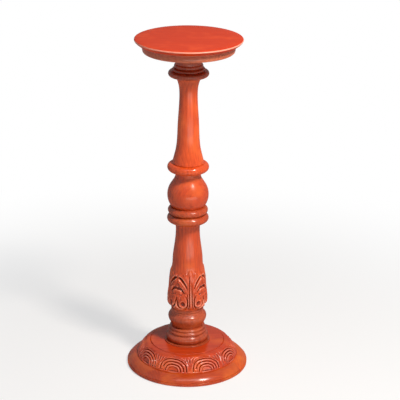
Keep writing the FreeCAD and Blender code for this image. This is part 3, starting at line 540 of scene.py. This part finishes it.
def bay_mesh(name, rows, normals, depths, closing, bay_angle, centre_angle):
    """A wedge with the carved outside rows[k], cut depths[j, k] deep, and the plain rows of closing."""
    columns = depths.shape[0]
    angles = np.radians(centre_angle + np.linspace(-bay_angle / 2, bay_angle / 2, columns))
    carved = rows[None, :, :] - normals[None, :, :] * depths[:, :, None]
    plain = np.repeat(np.asarray(closing, dtype=float)[None, :, :], columns, axis=0)
    outline = np.concatenate((carved, plain), axis=1)
    stations = outline.shape[1]
    radius, height = outline[:, :, 0], outline[:, :, 1]
    points = np.stack((radius * np.cos(angles)[:, None], radius * np.sin(angles)[:, None], height), axis=2)
    column, station = np.meshgrid(np.arange(columns - 1), np.arange(stations), indexing="ij")
    after = (station + 1) % stations
    quads = np.stack((column * stations + station, (column + 1) * stations + station,
                      (column + 1) * stations + after, column * stations + after), axis=2).reshape(-1, 4)
    mesh = bpy.data.meshes.new(name)
    mesh.from_pydata(points.reshape(-1, 3).tolist(), [], quads.tolist())
    hollow = np.concatenate((relief(depths), np.zeros((columns, len(closing)))), axis=1) / MM
    keep_hollow(mesh, hollow.astype(np.float32).ravel())
    return mesh


print("relief is measured against a square of", (2 * RELIEF_WINDOW + 1) ** 2, "grid points")

# %% [markdown]
# The bays repeat round the axis, which is a job for Geometry Nodes: a row of points, each turned one bay
# further, with the wedge on every point. The tree ends by realizing the copies, welding their seams and
# the poles, and setting the material. The result is turned into a plain mesh. An array of objects would
# look the same, but it would leave a seam at every bay.

# %% Repeat the bays round the axis
WELD_DISTANCE = 0.02 * MM
CREASE_ANGLE = math.radians(50)


def round_tree():
    """Geometry Nodes: copies of the wedge, one bay apart, welded into a ring."""
    tree = bpy.data.node_groups.new("bays round the axis", "GeometryNodeTree")
    for name, kind in (("Wedge", "NodeSocketGeometry"), ("Bays", "NodeSocketInt"),
                       ("Weld", "NodeSocketFloat"), ("Finish", "NodeSocketMaterial")):
        tree.interface.new_socket(name, in_out="INPUT", socket_type=kind)
    tree.interface.new_socket("Geometry", in_out="OUTPUT", socket_type="NodeSocketGeometry")
    given = add(tree, "NodeGroupInput")
    row = add(tree, "GeometryNodeMeshLine", {"mode": "OFFSET"},
              {"Count": given.outputs["Bays"], "Offset": (0, 0, 0)})
    index = add(tree, "GeometryNodeInputIndex")
    share = add(tree, "Math", {"operation": "DIVIDE"}, {0: index, 1: given.outputs["Bays"]})
    angle = add(tree, "Math", {"operation": "MULTIPLY"}, {0: share, 1: 2 * math.pi})
    turned = add(tree, "CombineXYZ", {}, {"Z": angle})
    copies = add(tree, "GeometryNodeInstanceOnPoints", {},
                 {"Points": row, "Instance": given.outputs["Wedge"], "Rotation": turned})
    solid = add(tree, "GeometryNodeRealizeInstances", {}, {0: copies})
    welded = add(tree, "GeometryNodeMergeByDistance", {},
                 {"Geometry": solid, "Distance": given.outputs["Weld"]})
    finished = add(tree, "GeometryNodeSetMaterial", {},
                   {"Geometry": welded, "Material": given.outputs["Finish"]})
    add(tree, "NodeGroupOutput", {}, {0: finished})
    return tree


BAYS_TREE = round_tree()


def smooth_but_creased(mesh):
    """Smooth shading, except along edges that a chisel or the lathe left sharp."""
    mesh.shade_smooth()
    mesh.set_sharp_from_angle(angle=CREASE_ANGLE)


def ring_of_bays(name, wedge, bays, material):
    """The whole carved piece as one plain mesh object."""
    source = put_in_scene(name + "_wedge", wedge)
    modifier = source.modifiers.new("bays", "NODES")
    modifier.node_group = BAYS_TREE
    values = {"Bays": bays, "Weld": WELD_DISTANCE, "Finish": material}
    for socket in BAYS_TREE.interface.items_tree:
        if socket.name in values:
            modifier[socket.identifier] = values[socket.name]
    evaluated = source.evaluated_get(bpy.context.evaluated_depsgraph_get())
    mesh = bpy.data.meshes.new_from_object(evaluated)
    bpy.data.objects.remove(source)
    mesh.name = name
    volume = sum(face.center.dot(face.normal) * face.area for face in mesh.polygons) / 3
    if volume < 0:
        mesh.flip_normals()
    smooth_but_creased(mesh)
    print(name, len(mesh.polygons), "faces, volume", round(abs(volume) / (10 * MM) ** 3), "cm3")
    return put_in_scene(name, mesh)


# %% [markdown]
# A carver draws each leaf as a few strokes, and so does this: a stroke is a path with a half width and a
# level, from root to tip. A lobe is a stroke with a rounded back that stands up from the ground. A gouge
# is a stroke that is scooped out. The highest lobe shows at each point, which leaves the sharp valleys
# between lobes that a chisel leaves. Sculpting by hand would be freer, but a stroke can be moved by a
# number, and all leaves follow.

# %% Strokes, lobes and gouges
STROKE_STEP = 1.4  # mm between the samples of a stroke
LEAST_HALF_WIDTH = 0.2  # mm, so that a stroke may end in a point
LOBE_WALL = 14.0  # mm that a lobe's wall drops over one half width outside its edge
FAR_AWAY = 1e9  # half widths, for a point that no stroke has reached yet


def through(points, spacing):
    """A lively curve through a stroke's points; further columns, such as the width, follow it."""
    points = np.asarray(points, dtype=float)
    padded = np.vstack((2 * points[0] - points[1], points, 2 * points[-1] - points[-2]))
    samples = [points[:1]]
    for before, start, end, after in zip(padded, padded[1:], padded[2:], padded[3:]):
        steps = max(2, int(np.ceil(np.linalg.norm((end - start)[:2]) / spacing)))
        part = np.linspace(0, 1, steps + 1)[1:, None]
        samples.append(0.5 * (2 * start + (end - before) * part
                              + (2 * before - 5 * start + 4 * end - after) * part ** 2
                              + (3 * start - before - 3 * end + after) * part ** 3))
    return np.vstack(samples)


def stroke(across, up, points):
    """How far each grid point is from a stroke, as a share of its half width, and the level there."""
    path = through(points, STROKE_STEP)
    share = np.full(across.shape, FAR_AWAY)
    level = np.zeros(across.shape)
    for start, end in zip(path, path[1:]):
        run = end[:2] - start[:2]
        squared = max(run @ run, 1 / FAR_AWAY)
        part = np.clip(((across - start[0]) * run[0] + (up - start[1]) * run[1]) / squared, 0, 1)
        away = np.hypot(across - start[0] - part * run[0], up - start[1] - part * run[1])
        here = away / np.maximum(start[2] + (end[2] - start[2]) * part, LEAST_HALF_WIDTH)
        nearer = here < share
        share = np.where(nearer, here, share)
        level = np.where(nearer, start[3] + (end[3] - start[3]) * part, level)
    return share, level


def lobe(across, up, points, crown, wall=LOBE_WALL):
    """Height of a rounded lobe: its level in the middle, lower by the crown at its edge, then a wall."""
    share, level = stroke(across, up, points)
    return level - crown * np.minimum(share, 1) ** 2 - wall * np.maximum(share - 1, 0)


def gouge(across, up, points):
    """Depth of a scooped cut. A gouge's level is how deep it goes."""
    share, level = stroke(across, up, points)
    return level * np.clip(1 - share ** 2, 0, 1)


def smooth_step(value, low, high):
    """0 below the low end, 1 above the high end, and an even S between them."""
    part = np.clip((value - low) / (high - low), 0, 1)
    return part * part * (3 - 2 * part)


print("a 30 mm stroke has", len(through(((0, 0), (0, 30)), STROKE_STEP)), "samples")

# %% [markdown]
# The vase's foot is wrapped in four acanthus leaves. Each has a stem between two grooves, a three-part
# tip, a rolled finger with a deep cut over it, a bud under a crescent hollow, and at the bottom a broad
# drop with a drilled eye and a groove round it. A raised border runs between two leaves down to the foot.
# Half a leaf is drawn, and the other half mirrors it, apart from the stem's right groove, which is
# shorter. The places are in mm: across from the stem's middle, and up from the vase's foot.

# %% Draw the acanthus leaf
LEAF_HALF_WIDTH = 46.0  # mm at the belly, an eighth of the way round
LEAF_LOBES = {  # points of (across, up, half width, level), and the crown
    "stem": (((0, -4, 18, -0.6), (0, 14, 9, -0.5), (0, 50, 8.5, -0.7), (0, 80, 12, -0.9), (0, 96, 14, -0.9)),
             1.0),
    "middle of the tip": (((0, 96, 12, -0.8), (0, 110, 10, -0.4), (0, 118, 8.5, -0.1), (0, 124, 5, 0)), 1.2),
    "side of the tip": (((6, 90, 8, -0.9), (13, 103, 8, -0.5), (19, 112, 6.5, 0)), 1.3),
    "shoulder": (((12, 84, 7, -1.0), (24, 100, 7, -0.6), (33, 108.5, 6.5, -0.1), (41, 110.5, 4, 0)), 1.5),
    "rolled finger": (((12, 62, 7, -1.2), (20, 74, 10, -0.7), (29, 86, 11.5, -0.3), (40, 95, 8, 0)), 2.6),
    "bud": (((46, 60, 9, -1.2), (37, 61, 8, -1.2), (32, 59, 5, -1.4)), 2.6),
    "drop": (((15, 56, 5, -1.0), (21, 46, 11, -0.5), (25, 34, 14.5, -0.1), (25, 27, 14.5, -0.1)), 2.6),
    "drop's wing": (((27, 36, 12, -0.3), (35, 44, 9, -0.1), (42, 50, 5, 0)), 1.8),
    "border": (((47, 58, 3, -0.5), (48, 36, 3.6, -0.2), (44.5, 18, 3.6, -0.1), (34, 7, 3.6, -0.1),
                (16, 1, 4.5, -0.4)), 1.8),
}
LEAF_GOUGES = {  # points of (across, up, half width, depth)
    "long cut over the finger": ((40.5, 106, 2.4, 3.6), (34.5, 103, 4.6, 6.0), (26, 95.5, 4.6, 6.2),
                                 (18, 86, 3.2, 4.8), (11, 73, 0.6, 0.8)),
    "crescent over the bud": ((48, 71, 3.6, 4.8), (40, 73.5, 4.6, 5.8), (32, 71.5, 4.4, 5.6),
                              (26, 65.5, 3.0, 4.4), (20, 57, 0.5, 0.8)),
    "eye": ((24.5, 26.5, 8.6, 7.2), (24.5, 28, 8.2, 7.2)),
    "vein along the finger": ((41, 97, 0.6, 0.4), (33, 91, 1.8, 1.5), (23, 78, 1.6, 1.3),
                              (15, 66, 0.5, 0.4)),
    "groove round the drop": ((46, 47, 1.0, 1.4), (44, 34, 2.4, 4.2), (39.5, 21, 2.7, 4.8),
                              (30, 12.5, 2.6, 4.8), (19, 13, 2.2, 4.2), (11.5, 21, 2.0, 3.6),
                              (9.8, 34, 1.8, 3.2), (13, 46, 1.6, 2.6), (19, 55, 1.0, 1.4)),
    "vein of the wing": ((35, 51, 0.6, 0.6), (31, 42, 1.7, 1.8), (30, 38, 0.6, 0.6)),
}
STEM_GROOVE_FOOT = ((3.6, 50, 1.9, 3.2), (4.6, 24, 1.9, 3.2), (9, 8, 1.4, 1.8))
STEM_GROOVE_LEFT = ((3.0, 118, 0.7, 0.8), (3.8, 96, 1.5, 2.2), *STEM_GROOVE_FOOT)
STEM_GROOVE_RIGHT = ((3.2, 92, 0.8, 0.9), (3.6, 74, 1.6, 2.2), *STEM_GROOVE_FOOT)
LEAF_CONTOUR = ((0, 124), (8, 118), (13, 113), (21, 113), (28, 109), (38, 110), (43, 107), (46, 103))
print("a half leaf has", len(LEAF_LOBES), "lobes and", len(LEAF_GOUGES), "gouges beside its stem")

# %% [markdown]
# The depth at a point is put together as the carver works. Above the leaf's contour the wood is cut back
# to the plain vase, which lies a step below the leaf. Under the contour the ground is taken down, the
# lobes are left standing up from it, and at last the gouges go in.

# %% How deep the leaf is cut
LEAF_GROUND = -3.6  # level of the ground between the lobes
LEAF_STEP = 2.3  # the leaf's edge over the plain vase above it
LEAF_EDGE = 6  # mm inside the contour over which the ground is reached
LEAF_TOP = 130.0  # height above the vase's foot from which the plain vase comes out again
LEAF_BLEND = 34.0  # over this height it comes back out to the outline
LEAF_DEEPEST = 8.0


def leaf_depth(side, up):
    """Depth of the carving in mm, for the signed distance from a leaf's middle and the height."""
    across = np.abs(side)
    contour = np.interp(across, *zip(*LEAF_CONTOUR))
    plain = -LEAF_STEP * (1 - smooth_step(up, LEAF_TOP, LEAF_TOP + LEAF_BLEND))
    ground = plain + (LEAF_GROUND - plain) * smooth_step(contour - up, 0, LEAF_EDGE)
    surface = np.where(up > contour, plain, ground)
    for points, crown in LEAF_LOBES.values():
        surface = np.maximum(surface, lobe(across, up, points, crown))
    depth = -surface
    for points in LEAF_GOUGES.values():
        depth = depth + gouge(across, up, points)
    left, right = (gouge(across, up, groove) for groove in (STEM_GROOVE_LEFT, STEM_GROOVE_RIGHT))
    return np.clip(depth + np.where(side < 0, left, right), 0, LEAF_DEEPEST)


stem_middle = leaf_depth(np.zeros(1), np.full(1, 50.0))
print("the stem's middle is cut", round(float(stem_middle[0]), 1), "mm deep")

# %% [markdown]
# The vase's outline swells just over its foot, where the leaves sit, and tapers to a slim neck. The rows
# of the grid lie close where there is carving and wide apart on the plain neck, which keeps the mesh
# light. The rest of the outline closes the solid: the top, the two dowel sockets and the foot.

# %% Carve the vase's surface
VASE_OUTLINE = ((45.5, 3.5), (57.3, 13.6), (59.5, 31.5), (56.4, 60), (53.6, 93), (48.4, 122), (40.4, 178),
                (34.3, 237), (35.6, 263))  # mm: radius, and height above the vase's own foot
OUTLINE_STEP = 0.5 * MM
SOCKET_RADIUS = 12.15 * MM  # for the dowels at both ends
SOCKET_DEPTH = 29.5 * MM
CARVED_STEP = 0.84 * MM  # grid spacing where there is carving
PLAIN_STEP = 5.0 * MM
CARVED_BLEND_SHARE = 0.6  # share of the blend that still has close rows
LEAF_COUNT = 4
FRONT_LEAF_ANGLE = -79.7  # degrees, the middle of the leaf that faces the camera

vase_foot, vase_top = (corner[2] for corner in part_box("carved_vase"))
vase_curve = outline_through(np.array(VASE_OUTLINE) * MM + (0, vase_foot), OUTLINE_STEP)
plain_from = vase_foot + (LEAF_TOP + LEAF_BLEND * CARVED_BLEND_SHARE) * MM
vase_rows = np.vstack((evenly(vase_curve[vase_curve[:, 1] <= plain_from], CARVED_STEP),
                       evenly(vase_curve[vase_curve[:, 1] > plain_from], PLAIN_STEP)))
vase_closing = [(SOCKET_RADIUS, vase_top), (SOCKET_RADIUS, vase_top - SOCKET_DEPTH),
                (0, vase_top - SOCKET_DEPTH), (0, vase_foot + SOCKET_DEPTH),
                (SOCKET_RADIUS, vase_foot + SOCKET_DEPTH), (SOCKET_RADIUS, vase_foot),
                (vase_rows[0, 0], vase_foot)]
leaf_columns = int(round(2 * LEAF_HALF_WIDTH * MM / CARVED_STEP)) + 1
leaf_side, leaf_up = np.meshgrid(np.linspace(-LEAF_HALF_WIDTH, LEAF_HALF_WIDTH, leaf_columns),
                                 (vase_rows[:, 1] - vase_foot) / MM, indexing="ij")
leaf_cut = leaf_depth(leaf_side, leaf_up) * MM
print("leaf grid", leaf_cut.shape, "deepest cut", round(leaf_cut.max() / MM, 1), "mm")

# %% [markdown]
# The same red lacquer lies on the carving. Its grooves get painted shade, darker than the wood, and its
# ridges a painted highlight, paler than the wood. Shading by the angle of the surface would darken the wrong
# places. The hollow attribute knows the depth, so it drives both.

# %% Finish of the carving, and the vase
GROOVE_SHADE_DARKEST = 1.5  # mm below the carving around it, where the painted shade is darkest
PAINTED_HIGHLIGHT_RISE = -1.6  # mm above it, where the painted highlight is palest


def carved_mahogany(tree, light, dark, patch, deep, ridge_highlight, grain, pith, gloss=LACQUER_GLOSS):
    """Carved mahogany: glossy, with a painted highlight on the ridges and painted shade in the grooves."""
    wood = mahogany_colour(tree, light, dark, patch, grain, pith)
    hollow = add(tree, "Attribute", {"attribute_name": "hollow"})
    # painted shade: the grooves are darkened towards the deep colour
    groove = add(tree, "MapRange", SMOOTH,
                 {"Value": hollow.outputs["Fac"], "From Min": 0.05, "From Max": GROOVE_SHADE_DARKEST,
                  "To Max": 0.82})
    # painted highlight: the ridges are paled towards the pale colour
    ridge = add(tree, "MapRange", SMOOTH,
                {"Value": hollow.outputs["Fac"], "From Min": -0.3, "From Max": PAINTED_HIGHLIGHT_RISE, "To Max": 0.55})
    # this mix is the wood with the painted shade in its grooves
    stained = add(tree, "Mix", COLOURS, {0: groove, 6: wood, 7: linear(deep)})
    colour = add(tree, "Mix", COLOURS, {0: ridge, 6: stained.outputs[2], 7: linear(ridge_highlight)})
    return lacquer(tree, colour.outputs[2], gloss)


# 480F07 is the painted shade in the grooves, F2A084 the painted highlight on the ridges
vase_wood = new_material("carved and lacquered mahogany, vase", carved_mahogany, "CC4C1E", "A03410", "D85E24",
                         "480F07", "F2A084", UPRIGHT, (0.08, 0.01, 0.4))
vase_wedge = bay_mesh("vase_wedge", vase_rows, outward(vase_rows), leaf_cut, vase_closing, 360 / LEAF_COUNT,
                      FRONT_LEAF_ANGLE)
vase = ring_of_bays("carved_vase_leaves", vase_wedge, LEAF_COUNT, vase_wood)
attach(vase, "root")
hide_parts("carved_vase")

# %% [markdown]
# Nine arches stand round the base. Each is a nest of three rounded ridges over a small hollow, with a
# fringe of slanting feather cuts over its crown and a little bud at its left foot. Between two arches a
# fan of hollow fingers rises. Each ridge could be a bent tube, but the ridges share one shape: a squarish
# ellipse, in which one number says how far out a point lies. So they are steps of that number.

# %% Size the carved arch
ARCH_HALF_WIDTH = 41.0  # mm, the outermost groove's feet
ARCH_HEIGHT = 38.5  # mm up the slope, the outermost groove's crown
ARCH_SQUARENESS = 2.25
ARCH_LEAN = 2.5  # mm that the crown sits to the left of the middle
LEAN_RISE = (6, 34)  # mm up the slope over which the lean comes in
LEAN_END = (26, 40)  # mm from the middle over which it goes out again
ARCH_RIDGES = (1.0, 0.78, 0.57, 0.37)  # the grooves between the ridges, as shares of the arch
RIDGE_LEVEL = -0.2
RIDGE_CROWN = 3.8  # mm from a ridge's back down to the groove beside it
RIDGE_ROUNDNESS = 2.4  # 2 is a parabola, and more is a fuller back
POOL_LEVEL = -2.4  # the small hollow in the middle
POOL_DISH = 1.4
OUTER_GROOVE_SHARE = 0.05  # how far the outermost groove runs out, as a share of the arch
BUD = ((-33, 6, 5.2, -0.1), (-32.5, 6.5, 5.2, -0.1))
BUD_CROWN = 1.6
BUD_WALL = 9.0
BUD_HOLLOW = ((-33, 6, 8.2, 3.0), (-32.5, 6.5, 8.2, 3.0))
PLAIN_EDGE = (0.4, 2.6)  # mm up the slope over which the carving starts
print("grooves at", [round(ARCH_HALF_WIDTH * share, 1) for share in ARCH_RIDGES], "mm from the middle")

# %% [markdown]
# The fringe and the fan fill the ground outside the arch. A feather is one tooth of a saw wave that runs
# round the arch and slants outwards. The fan's fingers are gouges, drawn once on one side of the line
# between two arches. Both fade in just outside the arch, so that they never cut its outer ridge.

# %% Fringe and fan
FRINGE_CUTS = 38
FRINGE_DEPTH = 1.8
FRINGE_SLANT = 8.8  # feathers passed per arch width outwards
FRINGE_START = (1.03, 1.08)  # shares of the arch
FRINGE_END = (1.16, 1.30)
FRINGE_CLEAR = (22, 29)  # mm from the line between two arches, over which the fringe comes in
FEATHER_STEEP_SIDE = 0.2  # share of a feather that is its steep side
FAN_START = (1.03, 1.10)  # shares of the arch
FAN_FINGERS = (  # distance from the line between two arches, up, half width, depth
    ((0, 5, 0.8, 0.8), (0, 18, 2.4, 2.2), (0, 32, 3.3, 2.6), (0, 45, 0.6, 0.5)),
    ((1.6, 11, 0.8, 0.8), (5.2, 24, 2.8, 2.4), (8.4, 35, 3.1, 2.4), (11.5, 44.5, 0.5, 0.4)),
    ((4.2, 17, 0.8, 0.8), (10, 27, 2.7, 2.2), (16.3, 36, 3.0, 2.3), (22, 43.5, 0.5, 0.4)),
    ((9, 23.5, 0.8, 0.7), (16.5, 31.5, 2.4, 2.0), (24, 37.8, 2.6, 2.0), (32, 43, 0.5, 0.4)),
)


def fringe_depth(reach, leaning, up, fan_side):
    """Depth of the feather cuts round an arch."""
    turn = np.arctan2(up / ARCH_HEIGHT, leaning / ARCH_HALF_WIDTH) / math.pi
    feather = (FRINGE_CUTS * turn + FRINGE_SLANT * (reach - 1)) % 1.0
    feather = np.where(feather < 1 - FEATHER_STEEP_SIDE, feather / (1 - FEATHER_STEEP_SIDE),
                       (1 - feather) / FEATHER_STEEP_SIDE)
    fringe = (smooth_step(reach, *FRINGE_START) * (1 - smooth_step(reach, *FRINGE_END))
              * smooth_step(fan_side, *FRINGE_CLEAR))
    return FRINGE_DEPTH * feather * fringe


def fan_depth(reach, up, fan_side):
    """Depth of the fan of fingers between two arches."""
    fan = np.zeros_like(reach)
    for points in FAN_FINGERS:
        fan = np.maximum(fan, gouge(fan_side, up, points))
    return fan * smooth_step(reach, *FAN_START)


print(2 * len(FAN_FINGERS) - 1, "fingers in a fan")

# %% [markdown]
# The arch itself is worked out ring by ring from its squarish ellipse. The deeper of two cuts wins where
# they meet, as it does in wood, and only the bud stands up again out of its hollow.

# %% How deep the arch is cut
def arch_depth(side, up, half_bay):
    """Depth of the carving in mm, for the distance from an arch's middle and up the slope."""
    across = np.abs(side)
    leaning = side + ARCH_LEAN * smooth_step(up, *LEAN_RISE) * (1 - smooth_step(across, *LEAN_END))
    reach = ((np.abs(leaning) / ARCH_HALF_WIDTH) ** ARCH_SQUARENESS
             + (np.maximum(up, 0) / ARCH_HEIGHT) ** ARCH_SQUARENESS) ** (1 / ARCH_SQUARENESS)
    surface = -(RIDGE_CROWN - RIDGE_LEVEL) * np.clip(1 - (reach - 1) / OUTER_GROOVE_SHARE, 0, 1)
    for outer, inner in zip(ARCH_RIDGES, ARCH_RIDGES[1:]):
        place = (reach - (outer + inner) / 2) / ((outer - inner) / 2)
        ridge = RIDGE_LEVEL - RIDGE_CROWN * np.abs(place) ** RIDGE_ROUNDNESS
        surface = np.where(np.abs(place) <= 1, ridge, surface)
    pool = ARCH_RIDGES[-1]
    surface = np.where(reach < pool, POOL_LEVEL - POOL_DISH * (1 - (reach / pool) ** 2), surface)
    fan_side = half_bay - across
    depth = np.maximum(fringe_depth(reach, leaning, up, fan_side) - surface, fan_depth(reach, up, fan_side))
    depth = np.maximum(depth, gouge(side, up, BUD_HOLLOW))
    depth = np.minimum(depth, -lobe(side, up, BUD, BUD_CROWN, BUD_WALL))
    return np.clip(depth, 0, None) * smooth_step(up, *PLAIN_EDGE)


# %% [markdown]
# The base is a dome: a swelling band that carries the arches, an incised circle, and a flat top on which
# the column stands. The band is one arc of the outline and gets the fine grid. The circle and the flat
# are a few plain rows, and the rest closes the solid: the bolt hole, the underside, and the lap on the
# rim's ledge.

# %% Carve the base
ARCH_COUNT = 9
FRONT_ARCH_ANGLE = -106.6  # degrees, the middle of the arch left of the front
ARCH_STEP = 0.78 * MM
BAND_FOOT = (145.95 * MM, 31.2 * MM)  # radius and height, where the band starts
BAND_HEAD = (118.8 * MM, 68.6 * MM)
BAND_SWELL = 4.0 * MM
INCISED_CIRCLE = ((113.6, 69.5), (108.4, 70.4), (107.2, 68.8), (106.0, 72.0))  # mm, radius and height
INNER_RING_SHARE = 0.6  # of the incised circle's radius; it divides the flat top
LAP_HEIGHT = 29.5 * MM  # the rim's ledge, on which the dome laps
DOME_FOOT_RADIUS = 139.0 * MM  # inside the rim
BOLT_HOLE_RADIUS = 5.5 * MM

dome_foot, dome_top = (corner[2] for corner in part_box("carved_plinth"))
band_rows = arc_through(BAND_FOOT, BAND_HEAD, BAND_SWELL, ARCH_STEP)
crown_rows = np.array(INCISED_CIRCLE) * MM
dome_rows = np.vstack((band_rows, crown_rows))
dome_normals = np.vstack((outward(band_rows), np.tile((0.0, 1.0), (len(crown_rows), 1))))
dome_closing = [(crown_rows[-1, 0] * INNER_RING_SHARE, dome_top), (BOLT_HOLE_RADIUS, dome_top),
                (BOLT_HOLE_RADIUS, dome_foot), (DOME_FOOT_RADIUS, dome_foot),
                (DOME_FOOT_RADIUS, LAP_HEIGHT), (BAND_FOOT[0], LAP_HEIGHT)]
arch_columns = int(round(2 * math.pi / ARCH_COUNT * BAND_FOOT[0] / ARCH_STEP)) + 1
bay_share, row_arc = np.meshgrid(np.linspace(-0.5, 0.5, arch_columns),
                                 2 * math.pi / ARCH_COUNT * band_rows[:, 0] / MM, indexing="ij")
row_up = np.arange(len(band_rows)) * np.linalg.norm(band_rows[1] - band_rows[0]) / MM
arch_cut = arch_depth(bay_share * row_arc, np.broadcast_to(row_up, row_arc.shape), row_arc / 2) * MM
arch_cut = np.hstack((arch_cut, np.zeros((arch_columns, len(crown_rows)))))
print("arch grid", arch_cut.shape, "slope", round(row_up.max(), 1), "mm")

# 3E0E06 is the painted shade in the grooves, ECA590 the painted highlight on the ridges
base_wood = new_material("carved and lacquered mahogany, base", carved_mahogany, "C8421A", "A02E0E", "D65A1E",
                         "3E0E06", "ECA590", ALONG_X, (0.04, 0.28, 0.02))
plinth_wedge = bay_mesh("plinth_wedge", dome_rows, dome_normals, arch_cut, dome_closing, 360 / ARCH_COUNT,
                        FRONT_ARCH_ANGLE)
plinth = ring_of_bays("carved_plinth_arches", plinth_wedge, ARCH_COUNT, base_wood)
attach(plinth, "root")
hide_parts("carved_plinth")

# %% [markdown]
# The top's edge is a nose: a rounded lip that catches a thin line of light, over a face that slants
# inwards into shade. It is one outline turned round the axis. A screw modifier could turn it, but its
# seam and poles would need a clean-up, so the rings are counted out here and each pole is one point.
# The lip gets the painted highlight that the carving has on its ridges, through the same attribute.

# %% Turn the top board
TOP_LIP = ((147.6, 975.0), (149.4, 974.3), (150.3, 972.8), (150.2, 971.2), (149.2, 969.6))  # mm
TOP_SLANT = ((149.2, 969.6), (147.0, 967.2), (143.6, 964.4), (141.2, 962.9), (140.4, 962.0))
LIP_STEP = 0.5  # mm between the points of the lip
SLANT_STEP = 0.8  # mm between those of the face under it
HIGHLIGHT_ABOVE = 970.6  # mm, the height over which the lip gets a painted highlight
HIGHLIGHT_OUTSIDE = 149.4  # mm, the radius outside which it gets it
TOP_FLAT_STEPS = 6
TOP_TURN_STEPS = 240
TOP_GLOSS = 0.11  # a flat top is rubbed duller than the column


def turned_mesh(name, outline, steps):
    """A closed solid: the outline, whose ends lie on the axis, turned round it."""
    angles = np.linspace(0, 2 * math.pi, steps, endpoint=False)
    radius, height = outline[1:-1].T
    count = len(radius)
    rings = np.stack((radius * np.cos(angles)[:, None], radius * np.sin(angles)[:, None],
                      np.broadcast_to(height, (steps, count))), axis=2)
    points = rings.reshape(-1, 3).tolist() + [(0, 0, outline[0, 1]), (0, 0, outline[-1, 1])]
    first_pole, last_pole = len(points) - 2, len(points) - 1
    faces = []
    for step in range(steps):
        here, there = step * count, (step + 1) % steps * count
        faces += [(here + k, there + k, there + k + 1, here + k + 1) for k in range(count - 1)]
        faces += [(first_pole, there, here), (here + count - 1, there + count - 1, last_pole)]
    mesh = bpy.data.meshes.new(name)
    mesh.from_pydata(points, [], faces)
    return mesh


def in_painted_highlight(point):
    """Whether a point of the top board lies on the lip's outermost part, which gets a painted highlight."""
    return point.z > HIGHLIGHT_ABOVE * MM and math.hypot(point.x, point.y) > HIGHLIGHT_OUTSIDE * MM


lip = evenly(through(TOP_LIP, LIP_STEP), LIP_STEP)
slant = evenly(through(TOP_SLANT, SLANT_STEP), SLANT_STEP)
flat = np.column_stack((np.linspace(0, TOP_LIP[0][0], TOP_FLAT_STEPS, endpoint=False),
                        np.full(TOP_FLAT_STEPS, TOP_LIP[0][1])))
top_outline = np.vstack((flat, lip, slant[1:], (0, TOP_SLANT[-1][1])))[::-1] * MM
top_mesh = turned_mesh("top_board_nosed", top_outline, TOP_TURN_STEPS)
smooth_but_creased(top_mesh)
# painted highlight on the lip, through the hollow attribute
keep_hollow(top_mesh, [PAINTED_HIGHLIGHT_RISE if in_painted_highlight(vertex.co) else 0.0 for vertex in top_mesh.vertices])
# 480F07 is the painted groove shade, and FFC0A8 the painted highlight on the lip
top_wood = new_material("lacquered mahogany, top board", carved_mahogany, "C83A12", "B42E0C", "D2461A",
                        "480F07", "FFC0A8", ALONG_X, (0.02, 0.31, 0.93), TOP_GLOSS)
top_mesh.materials.append(top_wood)
top_piece = put_in_scene("top_board_nosed", top_mesh)
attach(top_piece, "root")
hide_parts("top_board")
print("top board", len(top_mesh.polygons), "faces")
